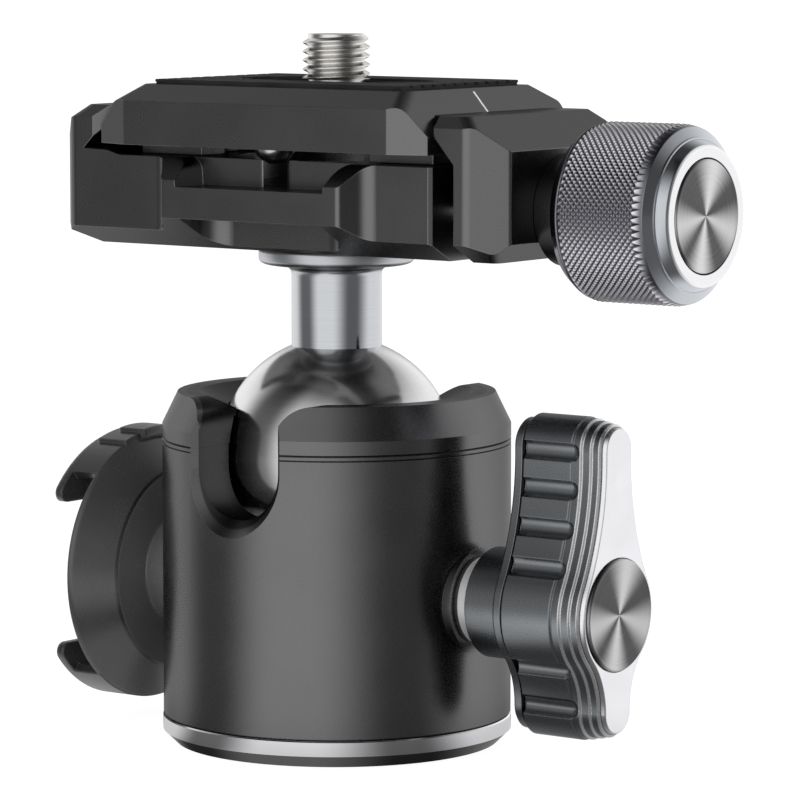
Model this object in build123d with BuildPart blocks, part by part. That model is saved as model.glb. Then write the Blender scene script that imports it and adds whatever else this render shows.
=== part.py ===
from build123d import *
import os
from math import asin, atan2, cos, degrees, radians, sin, sqrt

# Tripod ball head, millimetres.  Origin at the centre of the base's underside,
# +Z up, +X along the axes of both knobs, the drop notches face -Y and +Y.

# ---- housing ---------------------------------------------------------------
BODY_R = 16.5            # barrel and collar
BASE_R = 15.35           # underside, inside its bevel
BEVEL_Z = 1.16           # top of the base plate's bevel
RING_TOP_Z = 2.58        # top of the bright base ring
RING_R = 16.55
SPIGOT_R = 13.4          # base plate's spigot inside the ring
BARREL_Z = 2.62          # bottom of the barrel
SEAM_Z = 28.86           # joint between barrel and collar
CAVITY_FLOOR_Z = 9.0
CAVITY_R = 11.6          # bore and spherical seat round the friction liner
CONE_Z = 30.22           # start of the collar's conical shoulder
RIM_Z = 33.24
RIM_R = 15.03
FUNNEL_R = 12.95         # inner edge of the rim's flat top
LIP_Z = 32.0             # the lip that keeps the ball in
LIP_R = 10.25
LIP_UNDER_Z = 31.4
LIP_UNDER_R = 10.48
BUSH_R = 4.7625          # 3/8 inch adapter
SOCKET_R = 3.175         # 1/4 inch thread
BUSH_LEN = 7.4
SCREW_CIRCLE_R = 11.0
SCREW_R = 1.25
SCREW_HEAD_R = 2.3

# ---- drop notches ----------------------------------------------------------
NOTCH_R = 4.6
NOTCH_Z = 27.05          # centre of its round bottom
NOTCH_CORNER_R = 2.6     # rounding where its sides meet the rim
NOTCH_FLARE = 1.0        # widening per millimetre of depth at its outer edge
NOTCH_FLARE_Y = 15.0     # depth at which the widening starts

# ---- ball, liner and seat --------------------------------------------------
BALL_R = 11.2
BALL_Z = 27.15
FIT = 0.05               # running clearance
LINER_TOP_ANGLE = -27.0  # edges of the liner, degrees above the ball's equator
LINER_LOW_ANGLE = -62.0
SEAT_TOP_Z = 21.4
SEAT_CONE_Z = 17.5
SEAT_BOTTOM_Z = 12.2
SEAT_BOTTOM_R = 6.7
STEM_R = 4.25
STEM_JOINT_Z = 36.8
SPIGOT_STEM_R = 2.5
FLANGE_R = 7.35
FLANGE_Z = 45.3
CLAMP_Z = 46.8           # underside of the clamp, top of the stem

# ---- lock knob (wing) ------------------------------------------------------
LOCK_Z = 14.71
LOCK_STUD_R = 2.45
PAD_R = 4.85             # round pad on the barrel
PAD_X = 16.62
WASHER_R = 4.1
WASHER_X = (16.62, 18.45)
HUB_R = 5.15
WING_RIM_X = (22.1, 23.25)     # rear rim, then a narrow groove
WING_GRIP_X = 23.5
WING_STEP_X = (28.9, 29.8, 30.75, 31.55)  # front edges of the grip and its three steps
WING_STEP_OFFSET = (0.95, 0.83, 0.63, 0.45)  # how far each stands outside the face outline
WING_FACE_X = 32.0
WING_BEVEL = 0.22
WING_TIP_R = 1.95        # lobe ends, hub and concave flanks of the face outline
WING_HUB_R = 5.5
WING_TOP_Z = 29.75
WING_LOW_Z = 5.78
WING_TOP_FLANK_R = 25.0
WING_LOW_FLANK_R = 7.4
RIM_OFFSET = 0.5
GROOVE_OFFSET = 0.15
SCALLOP_R = 1.0
SCALLOP_Z = (29.6, 26.2, 22.75, 19.3, 9.6, 6.05)
SCALLOP_OUT = 0.45       # its axis outside the grip's surface
SCALLOP_END_X = 28.75    # centre of its round front end
LOCK_CAP_R = 5.21
LOCK_CAP_X = 32.3
LOCK_STUD_X = (13.1, 23.6)
LOCK_TAP_X = 19.1        # bottom of the tapped hole in the stud
LOCK_SCREW_X = 29.2      # underside of its head
LOCK_SCREW_R = 1.25
LOCK_SCREW_HEAD_R = 2.5

# ---- remote-control holder -------------------------------------------------
HOLDER_BACK_X = -19.0
HOLDER_BACK_R = 9.6
HOLDER_RIM_X = -22.6
HOLDER_RIM_R = 13.0
HOLDER_WALL = 1.2
CLAW_X = -26.3
CLAW_WALL = 0.9
CLAW_LIP_T = 0.8
CLAW_LIP_Z = 6.85        # straight inner edges of the two lips, from the axis
CLAW_ARC = (49.0, 131.0)
HOLDER_PAD_R = 5.5
HOLDER_SCREW_DZ = 3.2

# ---- quick-release clamp ---------------------------------------------------
CLAMP_Y = 11.0           # front plane of the side blocks
NOSE_Y = 13.5            # front plane of the middle
NOSE_X = (10.34, 11.79)  # its corners, before they are rounded
NOSE_Z = (49.87, 53.4)   # top and bottom of its front plane
NOSE_ROUND = 0.6
NOSE_BLEND = 1.8
RIDGE_ROUND = 1.5        # where a block's front and end slopes meet
BED_Z = 55.4
JAW_TOP_Z = 60.0
JAW_LIP_X = 17.58        # edge of each jaw's lip
GROOVE_X = 21.8          # bottom of the fixed jaw's dovetail groove
GROOVE_Z = 55.9
BASE_LEFT_X = -25.5
BASE_RIGHT_X = 18.9
BASE_CHAMFER = 0.32      # upright edges of its right end
JAW_IN_X = 21.4
JAW_OUT_X = 26.0
JAW_SLOPE_X = 22.2
JAW_SLOPE_Z = 56.95
JAW_CHAMFER = 1.05
END_Y = 8.6              # each block's end face, between its corner facets
END_FACET_X = 3.3        # length along X of the moving jaw's corner facets
LEFT_FACET_X = 2.3       # and of the base's
END_ROUND = (1.3, 0.5)   # rounding of its front and its end edge
UNDER_Y = 7.9            # flat underside
LOW_EDGE_Z = 48.6
POCKET_Z = 52.8
POCKET_X = 8.6
POCKET_R = 9.4
STUD_Z = 51.33
STUD_R = 1.95
PIN_R = 0.9
PIN_Y = 6.8
SLEEVE_R = 2.85

# ---- clamp knob ------------------------------------------------------------
KNOB_R = 8.15
KNOB_X = (29.2, 39.4, 40.3, 41.15)  # back, end of the knurled rim, boss, face
KNOB_BOSS_R = 6.7
KNOB_CAP_R = 5.17
KNOB_CAP_X = 41.25
KNOB_RECESS = 0.9
CAP_GAP = 0.03           # round each cap in its recess
NECK_R = 5.1

# ---- quick-release plate ---------------------------------------------------
PLATE_X = 19.0
PLATE_Y = 12.81
PLATE_Z = (56.51, 58.16, 60.62, 62.09)  # underside, lip top, front slope, top
PLATE_TOP = (15.5, 10.05)
PLATE_CORNER = (3.72, 1.18)
PLATE_ROUND = 1.8        # where its front and end slopes meet
RUNNER_X = (9.8, 17.0)
RUNNER_Y = 8.0
PAD_SIZE = (28.6, 18.6, 0.46)
SLOT_SIZE = (20.6, 7.4)
SLOT_FLOOR_Z = 61.1
SCREW_TRAVEL = 6.5
SCREW_THREAD_Z = 62.6    # end of the screw's neck, just clear of the rubber sheet
SCREW_TOP_Z = 66.8
THREAD_CHAMFER = 0.55
NECK_SCREW_R = 2.6
HEAD_R = 5.4
HEAD_Z = (56.6, 58.3)
STOP_R = 2.0
STOP_Z = 55.0            # lowest point of the stop screws' domes
STOP_Y = 9.4

os.makedirs("parts", exist_ok=True)


def save(part, name):
    """Label a finished piece and write it to its STEP file."""
    part.label = name
    export_step(part, f"parts/{name}.step")


def turned(points, axis=Axis.Z, mode=Mode.ADD):
    """Add a body of revolution from a closed profile in the XZ plane."""
    with BuildSketch(Plane.XZ) as profile:
        with BuildLine():
            Polyline(*points, close=True)
        make_face()
    revolve(profile.sketch, axis=axis, mode=mode)


def turned_x(points, z, mode=Mode.ADD):
    """Revolve (x, radius) points about the line y = 0 at height z."""
    turned([(x, z + r) for x, r in points], Axis((0, 0, z), (1, 0, 0)), mode)


def rod_x(x0, x1, radius, y=0.0, z=0.0, mode=Mode.ADD):
    """A round bar or bore along X, from x0 to x1."""
    with BuildSketch(Plane.YZ.offset(x0)) as section:
        with Locations((y, z)):
            Circle(radius)
    extrude(section.sketch, x1 - x0, mode=mode)


def rod_z(z0, z1, radius, x=0.0, y=0.0, mode=Mode.ADD):
    """A round bar or bore along Z, from z0 to z1."""
    with BuildSketch(Plane.XY.offset(z0)) as section:
        with Locations((x, y)):
            Circle(radius)
    extrude(section.sketch, z1 - z0, mode=mode)


def along_y(points, half_width, mode=Mode.ADD):
    """Extrude a closed (x, z) outline both ways along Y."""
    with BuildSketch(Plane.XZ) as outline:
        with BuildLine():
            Polyline(*points, close=True)
        make_face()
    extrude(outline.sketch, half_width, both=True, mode=mode)


def along_x(points, x0, x1, mode=Mode.ADD):
    """Extrude a closed (y, z) outline along X, from x0 to x1."""
    with BuildSketch(Plane.YZ.offset(x0)) as outline:
        with BuildLine():
            Polyline(*points, close=True)
        make_face()
    extrude(outline.sketch, x1 - x0, mode=mode)


def along_z(points, z0, z1, mode=Mode.ADD):
    """Extrude a closed (x, y) outline along Z, from z0 to z1."""
    with BuildSketch(Plane.XY.offset(z0)) as outline:
        with BuildLine():
            Polyline(*points, close=True)
        make_face()
    extrude(outline.sketch, z1 - z0, mode=mode)


def mirrored(points):
    """Close a half outline with its mirror image in the second axis."""
    return points + [(-a, b) for a, b in reversed(points)]


def both_ends(points):
    """Close a half outline with its mirror image in the first axis."""
    return points + [(a, -b) for a, b in reversed(points)]


def corners(x, y):
    """The vertices of the sketch being built that lie at |x|, |y|."""
    return [v for v in vertices() if abs(abs(v.X) - x) < 0.01 and abs(abs(v.Y) - y) < 0.01]


def round_ridges(radius, x_min):
    """Round the slanted ridges that stand further out than x_min."""
    ridges = [e for e in edges() if abs(e.center().X) > x_min
              and min(abs(e.tangent_at(0.5).X), abs(e.tangent_at(0.5).Y), abs(e.tangent_at(0.5).Z)) > 0.1]
    fillet(ridges, radius)


def notch_u(radius, top, corner=0.0):
    """The notch's outline in XZ: round bottom, straight sides, rounded top corners."""
    side_top = top - corner
    with BuildLine() as outline:
        ThreePointArc((-radius, NOTCH_Z), (0, NOTCH_Z - radius), (radius, NOTCH_Z))
        Line((radius, NOTCH_Z), (radius, side_top))
        if corner:
            bend = corner * (1 - sqrt(0.5))
            right = radius + corner
            ThreePointArc((radius, side_top), (radius + bend, top - bend), (right, top))
            Line((right, top), (right, top + 1))
            Line((right, top + 1), (-right, top + 1))
            Line((-right, top + 1), (-right, top))
            ThreePointArc((-right, top), (-radius - bend, top - bend), (-radius, side_top))
        else:
            Line((radius, side_top), (-radius, side_top))
        Line((-radius, side_top), (-radius, NOTCH_Z))
    make_face(outline.edges())


def cut_notches():
    """Cut the two drop notches for the stem, with their flared outer edges, at -Y and +Y."""
    flare_depth = BODY_R + 1 - NOTCH_FLARE_Y
    grown = NOTCH_R + NOTCH_FLARE * flare_depth
    for side in (1, -1):
        with BuildSketch(Plane.XZ) as slot:
            notch_u(NOTCH_R, RIM_Z, NOTCH_CORNER_R)
        extrude(slot.sketch, side * (BODY_R + 1), mode=Mode.SUBTRACT)
        with BuildSketch(Plane.XZ.offset(side * NOTCH_FLARE_Y)) as inner:
            notch_u(NOTCH_R, RIM_Z + 1)
        with BuildSketch(Plane.XZ.offset(side * (BODY_R + 1))) as outer:
            notch_u(grown, RIM_Z + 1)
        loft([inner.sketch, outer.sketch], mode=Mode.SUBTRACT)


def sphere_point(radius, angle):
    """A point (r, z) of a sphere round the ball's centre, at an angle above its equator."""
    return radius * cos(radians(angle)), BALL_Z + radius * sin(radians(angle))


def sphere_angle(radius, z):
    return degrees(asin((z - BALL_Z) / radius))


# ============================ housing =======================================
with BuildPart() as barrel:
    groove = 0.14
    turned([
        (0, CAVITY_FLOOR_Z), (CAVITY_R, CAVITY_FLOOR_Z), (CAVITY_R, SEAM_Z),
        (BODY_R - groove, SEAM_Z), (BODY_R, SEAM_Z - 0.1), (BODY_R, SEAM_Z - 0.37),
        (BODY_R - groove, SEAM_Z - 0.44), (BODY_R, SEAM_Z - 0.51), (BODY_R, BARREL_Z + 0.15),
        (BODY_R - 0.15, BARREL_Z), (BUSH_R, BARREL_Z), (BUSH_R, BUSH_LEN), (0, BUSH_LEN),
    ])
    rod_x(CAVITY_R + 1.5, PAD_X, PAD_R, z=LOCK_Z)
    rod_x(CAVITY_R - 2, PAD_X + 1, LOCK_STUD_R + FIT, z=LOCK_Z, mode=Mode.SUBTRACT)
    for dz in (-HOLDER_SCREW_DZ, HOLDER_SCREW_DZ):
        rod_x(-BODY_R - 1, 0.8 - BODY_R + 2.4, SCREW_R, z=LOCK_Z + dz, mode=Mode.SUBTRACT)
    with BuildSketch(Plane.XY.offset(BARREL_Z)) as screw_holes:
        with PolarLocations(SCREW_CIRCLE_R, 3, start_angle=90):
            Circle(SCREW_R)
    extrude(screw_holes.sketch, 5.2, mode=Mode.SUBTRACT)
    cut_notches()
save(barrel.part, "barrel")

with BuildPart() as collar:
    with BuildSketch(Plane.XZ) as section:
        with BuildLine():
            low = (CAVITY_R * cos(radians(sphere_angle(CAVITY_R, SEAM_Z))), SEAM_Z)
            high = (CAVITY_R * cos(radians(sphere_angle(CAVITY_R, LIP_UNDER_Z))), LIP_UNDER_Z)
            middle = sphere_point(CAVITY_R, sphere_angle(CAVITY_R, (SEAM_Z + LIP_UNDER_Z) / 2))
            Polyline(low, (BODY_R - 0.14, SEAM_Z), (BODY_R, SEAM_Z + 0.1), (BODY_R, CONE_Z),
                     (RIM_R, RIM_Z), (FUNNEL_R, RIM_Z), (LIP_R, LIP_Z),
                     (LIP_UNDER_R, LIP_UNDER_Z), high)
            ThreePointArc(high, middle, low)
        make_face()
    revolve(section.sketch, axis=Axis.Z)
    cut_notches()
save(collar.part, "collar")

with BuildPart() as base_ring:
    turned([
        (SPIGOT_R + 0.02, BEVEL_Z), (RING_R, BEVEL_Z), (RING_R, RING_TOP_Z - 0.12),
        (RING_R - 0.12, RING_TOP_Z), (SPIGOT_R + 0.02, RING_TOP_Z),
    ])
save(base_ring.part, "base_ring")

with BuildPart() as base_plate:
    turned([
        (BUSH_R, 0), (BASE_R, 0), (RING_R - 0.05, BEVEL_Z - 0.02), (SPIGOT_R, BEVEL_Z - 0.02),
        (SPIGOT_R, BARREL_Z), (BUSH_R, BARREL_Z),
    ])
    with Locations(Plane.XY.rotated((180, 0, 0))):
        with PolarLocations(SCREW_CIRCLE_R, 3, start_angle=-90):
            CounterSinkHole(SCREW_R, SCREW_HEAD_R, BARREL_Z)
save(base_plate.part, "base_plate")

with BuildPart() as thread_bushing:
    turned([(SOCKET_R, 0), (BUSH_R, 0), (BUSH_R, BUSH_LEN), (SOCKET_R, BUSH_LEN)])
save(thread_bushing.part, "thread_bushing")

with BuildPart() as base_screws:
    head = SCREW_HEAD_R - 0.12
    with BuildSketch(Plane.XZ) as screw_profile:
        with BuildLine():
            Polyline((0, 0.9), (0.8, 0.9), (0.8, 0.12), (head, 0.12), (SCREW_R, head - SCREW_R + 0.12),
                     (SCREW_R, 7.4), (0, 7.4), close=True)
        make_face()
    screw = revolve(screw_profile.sketch, axis=Axis.Z, mode=Mode.PRIVATE)
    with PolarLocations(SCREW_CIRCLE_R, 3, start_angle=90):
        add(screw)
save(base_screws.part, "base_screws")

# The seat that is pushed up under the ball, on a disc spring.
with BuildPart() as lower_seat:
    seat_r = CAVITY_R - FIT
    with BuildSketch(Plane.XZ) as section:
        with BuildLine():
            rim = (CAVITY_R * cos(radians(sphere_angle(CAVITY_R, SEAT_TOP_Z))), SEAT_TOP_Z)
            floor = sphere_point(CAVITY_R, -90)
            Polyline((0, floor[1]), (0, SEAT_BOTTOM_Z), (SEAT_BOTTOM_R, SEAT_BOTTOM_Z),
                     (seat_r, SEAT_CONE_Z), (seat_r, SEAT_TOP_Z), rim)
            ThreePointArc(rim, sphere_point(CAVITY_R, -60), (0, floor[1]))
        make_face()
    revolve(section.sketch, axis=Axis.Z)
save(lower_seat.part, "lower_seat")

with BuildPart() as disc_spring:
    turned([(3.2, 11.55), (3.2, 12.1), (4.4, 12.1), (10.4, 9.6), (10.4, 9.05), (9.2, 9.05)])
save(disc_spring.part, "disc_spring")

# A zone of a sphere between ball and seat.
with BuildPart() as ball_liner:
    inner_r = BALL_R + FIT
    outer_r = CAVITY_R - FIT
    mid_angle = (LINER_TOP_ANGLE + LINER_LOW_ANGLE) / 2
    with BuildSketch(Plane.XZ) as section:
        with BuildLine():
            ThreePointArc(*[sphere_point(outer_r, a)
                            for a in (LINER_TOP_ANGLE, mid_angle, LINER_LOW_ANGLE)])
            Line(sphere_point(outer_r, LINER_LOW_ANGLE), sphere_point(inner_r, LINER_LOW_ANGLE))
            ThreePointArc(*[sphere_point(inner_r, a)
                            for a in (LINER_LOW_ANGLE, mid_angle, LINER_TOP_ANGLE)])
            Line(sphere_point(inner_r, LINER_TOP_ANGLE), sphere_point(outer_r, LINER_TOP_ANGLE))
        make_face()
    revolve(section.sketch, axis=Axis.Z)
save(ball_liner.part, "ball_liner")

with BuildPart() as ball:
    with Locations((0, 0, BALL_Z)):
        Sphere(BALL_R)
    rod_z(STEM_JOINT_Z, BALL_Z + BALL_R + 1, STEM_R, mode=Mode.SUBTRACT)
    rod_z(BALL_Z, STEM_JOINT_Z, SPIGOT_STEM_R + 0.02, mode=Mode.SUBTRACT)
save(ball.part, "ball")

# Stem with its flange; the bore takes the screw that the clamp turns on.
with BuildPart() as stem:
    turned([
        (0, BALL_Z + 0.1), (SPIGOT_STEM_R, BALL_Z + 0.1), (SPIGOT_STEM_R, STEM_JOINT_Z),
        (STEM_R, STEM_JOINT_Z), (STEM_R, 44.35), (4.5, 44.75), (5.0, 45.0), (6.85, FLANGE_Z),
        (7.2, 45.42), (FLANGE_R, 45.7), (FLANGE_R, 46.45), (7.15, 46.72), (6.9, CLAMP_Z - 0.04),
        (2.06, CLAMP_Z - 0.04), (2.06, 40.2), (0, 40.2),
    ])
save(stem.part, "stem")

# ============================ lock knob =====================================
def cap_disc(x_back, x_front, radius, z):
    """A round cap with a slightly dished face and a broken edge."""
    edge = 0.12
    dish = 0.15
    turned_x([(x_back, 0), (x_back, radius), (x_front - edge, radius), (x_front, radius - edge),
              (x_front, radius - 2 * edge), (x_front - dish, 0)], z)


def wing_line(offset):
    """The wing's outline in YZ: two lobes and a hub, joined by concave flanks."""
    tip = WING_TIP_R + offset
    hub = WING_HUB_R + offset
    ends = []
    for lobe_z, flank_r, side in ((WING_TOP_Z, WING_TOP_FLANK_R, 1),
                                  (WING_LOW_Z, WING_LOW_FLANK_R, -1)):
        flank_y = WING_TIP_R + flank_r
        rise = side * sqrt((WING_HUB_R + flank_r) ** 2 - flank_y ** 2)
        toward = atan2(rise, flank_y)
        own_r = flank_r - offset
        half = toward / 2
        centre = (flank_y, LOCK_Z + rise)
        on_hub = (hub * cos(toward), LOCK_Z + hub * sin(toward))
        between = (centre[0] - own_r * cos(half), centre[1] - own_r * sin(half))
        on_lobe = (tip, centre[1])
        ends.append((lobe_z, side, on_hub, between, on_lobe))
    with BuildLine() as outline:
        for sign in (1, -1):
            for lobe_z, side, on_hub, between, on_lobe in ends:
                pts = [(sign * y, z) for y, z in (on_hub, between, on_lobe)]
                ThreePointArc(*pts)
                if abs(lobe_z - pts[2][1]) > 1e-3:
                    Line(pts[2], (sign * tip, lobe_z))
            low, high = ends[1][2], ends[0][2]
            ThreePointArc((sign * low[0], low[1]), (sign * hub, LOCK_Z), (sign * high[0], high[1]))
        for lobe_z, side, *_ in ends:
            ThreePointArc((-tip, lobe_z), (0, lobe_z + side * tip), (tip, lobe_z))
    make_face(outline.edges())


def wing_slab(x0, x1, offset, offset_end=None, mode=Mode.ADD):
    """One layer of the wing, straight or drawn in towards its front."""
    with BuildSketch(Plane.YZ.offset(x0)) as rear:
        wing_line(offset)
    if offset_end is None:
        extrude(rear.sketch, x1 - x0, mode=mode)
        return
    with BuildSketch(Plane.YZ.offset(x1)) as front:
        wing_line(offset_end)
    loft([rear.sketch, front.sketch], mode=mode)


with BuildPart() as lock_grip:
    x_rear, x_groove = WING_RIM_X
    rod_x(WASHER_X[1] + FIT, x_rear, HUB_R, z=LOCK_Z)
    wing_slab(x_rear, x_rear + WING_BEVEL, RIM_OFFSET - WING_BEVEL, RIM_OFFSET)
    wing_slab(x_rear + WING_BEVEL, x_groove - WING_BEVEL, RIM_OFFSET)
    wing_slab(x_groove - WING_BEVEL, x_groove, RIM_OFFSET, RIM_OFFSET - WING_BEVEL)
    wing_slab(x_groove, WING_GRIP_X, GROOVE_OFFSET)
    for x_start, x_end, offset in zip((WING_GRIP_X, *WING_STEP_X), WING_STEP_X, WING_STEP_OFFSET):
        wing_slab(x_start, x_end - WING_BEVEL, offset)
        wing_slab(x_end - WING_BEVEL, x_end, offset, offset - WING_BEVEL)
    for z in SCALLOP_Z:
        flank_r = WING_TOP_FLANK_R if z > LOCK_Z else WING_LOW_FLANK_R
        side = 1 if z > LOCK_Z else -1
        flank_y = WING_TIP_R + flank_r
        flank_z = LOCK_Z + side * sqrt((WING_HUB_R + flank_r) ** 2 - flank_y ** 2)
        reach = abs(flank_z - z) if side * (flank_z - z) > 0 else 0.0
        wall = flank_y - sqrt((flank_r - WING_STEP_OFFSET[0]) ** 2 - reach ** 2)
        for sign in (1, -1):
            centre_y = sign * (wall + SCALLOP_OUT)
            rod_x(WING_GRIP_X - 0.01, SCALLOP_END_X, SCALLOP_R, y=centre_y, z=z, mode=Mode.SUBTRACT)
            with Locations((SCALLOP_END_X, centre_y, z)):
                Sphere(SCALLOP_R, mode=Mode.SUBTRACT)
    rod_x(WASHER_X[1], LOCK_STUD_X[1], LOCK_STUD_R, z=LOCK_Z, mode=Mode.SUBTRACT)
    rod_x(LOCK_SCREW_X, WING_STEP_X[-1], LOCK_SCREW_HEAD_R + 0.1, z=LOCK_Z, mode=Mode.SUBTRACT)
    rod_x(x_rear, LOCK_SCREW_X, LOCK_SCREW_R, z=LOCK_Z, mode=Mode.SUBTRACT)
save(lock_grip.part, "lock_grip")

with BuildPart() as lock_face:
    x_back = WING_STEP_X[-1]
    flank = 0.08
    x_flank = WING_FACE_X - 0.12
    wing_slab(x_back, x_flank, WING_STEP_OFFSET[-1] - WING_BEVEL - flank, flank)
    wing_slab(x_flank, WING_FACE_X, flank, 0.0)
    rod_x(x_back, WING_FACE_X, LOCK_CAP_R + CAP_GAP, z=LOCK_Z, mode=Mode.SUBTRACT)
save(lock_face.part, "lock_face")

with BuildPart() as lock_cap:
    cap_disc(WING_STEP_X[-1], LOCK_CAP_X, LOCK_CAP_R, LOCK_Z)
save(lock_cap.part, "lock_cap")

with BuildPart() as lock_stud:
    rod_x(LOCK_STUD_X[0], LOCK_STUD_X[1], LOCK_STUD_R, z=LOCK_Z)
    rod_x(LOCK_TAP_X, LOCK_STUD_X[1], LOCK_SCREW_R, z=LOCK_Z, mode=Mode.SUBTRACT)
save(lock_stud.part, "lock_stud")

# The screw behind the cap that holds the grip on its stud.
with BuildPart() as lock_screw:
    x_top = WING_STEP_X[-1] - FIT
    x_drive = LOCK_SCREW_X + 0.9
    drive_r = 1.1
    turned_x([(LOCK_TAP_X, 0), (LOCK_TAP_X, LOCK_SCREW_R), (LOCK_SCREW_X, LOCK_SCREW_R),
              (LOCK_SCREW_X, LOCK_SCREW_HEAD_R), (x_top, LOCK_SCREW_HEAD_R), (x_top, drive_r),
              (x_drive, drive_r), (x_drive, 0)], LOCK_Z)
save(lock_screw.part, "lock_screw")

with BuildPart() as lock_washer:
    turned_x([(WASHER_X[0], LOCK_STUD_R + FIT), (WASHER_X[0], WASHER_R),
              (WASHER_X[1], WASHER_R), (WASHER_X[1], LOCK_STUD_R + FIT)], LOCK_Z)
save(lock_washer.part, "lock_washer")

# Pushed inwards by the stud; its cone lifts the seat against the ball.
with BuildPart() as plunger:
    wedge_x = SEAT_BOTTOM_R + (LOCK_Z - SEAT_BOTTOM_Z) * (CAVITY_R - FIT - SEAT_BOTTOM_R) / (
        SEAT_CONE_Z - SEAT_BOTTOM_Z)
    turned_x([(wedge_x + 0.45, 0), (wedge_x + 0.45, 0.5), (wedge_x + 2.6, 2.3),
              (12.7, 2.3), (12.7, 0)], LOCK_Z)
save(plunger.part, "plunger")

# ============================ remote-control holder =========================
def holder_plane(angle):
    """A plane through the holder's axis: x along X, y outwards at an angle from -Y."""
    a = radians(angle)
    return Plane(origin=(0, 0, LOCK_Z), x_dir=(1, 0, 0), z_dir=(0, -sin(a), -cos(a)))


def holder_arc(x0, x1, r0, r1, start, end):
    """An arc of rectangular section round the holder's axis."""
    with BuildSketch(holder_plane(start)) as section:
        with Locations(((x0 + x1) / 2, (r0 + r1) / 2)):
            Rectangle(abs(x1 - x0), r1 - r0)
    revolve(section.sketch, axis=Axis((0, 0, LOCK_Z), (-1, 0, 0)), revolution_arc=end - start)


with BuildPart() as remote_holder:
    slant = HOLDER_WALL * sqrt(2)
    floor_x = HOLDER_BACK_X - HOLDER_WALL
    turned_x([
        (HOLDER_BACK_X, 0), (HOLDER_BACK_X, HOLDER_BACK_R), (HOLDER_RIM_X + 0.5, HOLDER_RIM_R - 0.15),
        (HOLDER_RIM_X + 0.1, HOLDER_RIM_R), (HOLDER_RIM_X, HOLDER_RIM_R - 0.1),
        (HOLDER_RIM_X, HOLDER_RIM_R - 0.9), (floor_x, HOLDER_BACK_R + HOLDER_WALL - slant), (floor_x, 0),
    ], LOCK_Z)
    rod_x(HOLDER_BACK_X, -BODY_R + 2, HOLDER_PAD_R, z=LOCK_Z)
    rod_z(LOCK_Z - 8, LOCK_Z + 8, BODY_R + 0.02, mode=Mode.SUBTRACT)
    band_r = HOLDER_RIM_R - CLAW_WALL
    lip_reach = sqrt(HOLDER_RIM_R ** 2 - CLAW_LIP_Z ** 2)
    for side in (-1, 1):
        turn = 0 if side > 0 else 180
        holder_arc(CLAW_X, HOLDER_RIM_X + 0.3, band_r, HOLDER_RIM_R,
                   CLAW_ARC[0] + turn, CLAW_ARC[1] + turn)
        with BuildSketch(Plane.YZ.offset(CLAW_X)) as lip:
            with BuildLine():
                Line((-lip_reach, LOCK_Z + side * CLAW_LIP_Z), (lip_reach, LOCK_Z + side * CLAW_LIP_Z))
                ThreePointArc((lip_reach, LOCK_Z + side * CLAW_LIP_Z), (0, LOCK_Z + side * HOLDER_RIM_R),
                              (-lip_reach, LOCK_Z + side * CLAW_LIP_Z))
            make_face()
            fillet(lip.vertices(), 0.9)
        extrude(lip.sketch, CLAW_LIP_T)
    holder_arc(CLAW_X + 0.7, HOLDER_RIM_X + 0.5, HOLDER_RIM_R - 0.2, HOLDER_RIM_R + 0.35, 70, 110)
    holder_arc(CLAW_X + 1.6, HOLDER_RIM_X + 1.0, HOLDER_RIM_R - 0.2, HOLDER_RIM_R + 0.7, 80, 100)
    for dz in (-HOLDER_SCREW_DZ, HOLDER_SCREW_DZ):
        rod_x(floor_x, -BODY_R + 2, SCREW_R, z=LOCK_Z + dz, mode=Mode.SUBTRACT)
        turned_x([(floor_x - 0.01, 0), (floor_x - 0.01, SCREW_HEAD_R), (floor_x + 1.1, SCREW_R),
                  (floor_x + 1.1, 0)], LOCK_Z + dz, mode=Mode.SUBTRACT)
save(remote_holder.part, "remote_holder")

with BuildPart() as holder_screws:
    for dz in (-HOLDER_SCREW_DZ, HOLDER_SCREW_DZ):
        turned_x([(floor_x + 0.7, 0), (floor_x + 0.7, 0.7), (floor_x + 0.12, 0.7),
                  (floor_x + 0.12, SCREW_HEAD_R - 0.15), (floor_x + 1.05, SCREW_R),
                  (-BODY_R + 3.1, SCREW_R), (-BODY_R + 3.1, 0)], LOCK_Z + dz)
save(holder_screws.part, "holder_screws")

# ============================ quick-release clamp ===========================
# The slopes run on past the front planes, so that their ridges can be rounded
# before the clamp is trimmed to its plan.
OVERRUN = 0.9
SECTION_YZ = mirrored([
    (UNDER_Y, CLAMP_Z), (NOSE_Y, NOSE_Z[0]), (NOSE_Y, NOSE_Z[1]), (CLAMP_Y, BED_Z),
    (CLAMP_Y + OVERRUN, BED_Z + 0.1), (CLAMP_Y + OVERRUN, JAW_TOP_Z - JAW_CHAMFER - OVERRUN),
    (CLAMP_Y - JAW_CHAMFER, JAW_TOP_Z),
])


def cut_lip(points):
    """Trim both ends of a jaw's lip to a plan outline given at +Y."""
    for end in (-1, 1):
        along_z([(x, end * y) for x, y in points], GROOVE_Z + 0.7, JAW_TOP_Z + 0.1, Mode.SUBTRACT)


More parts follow.
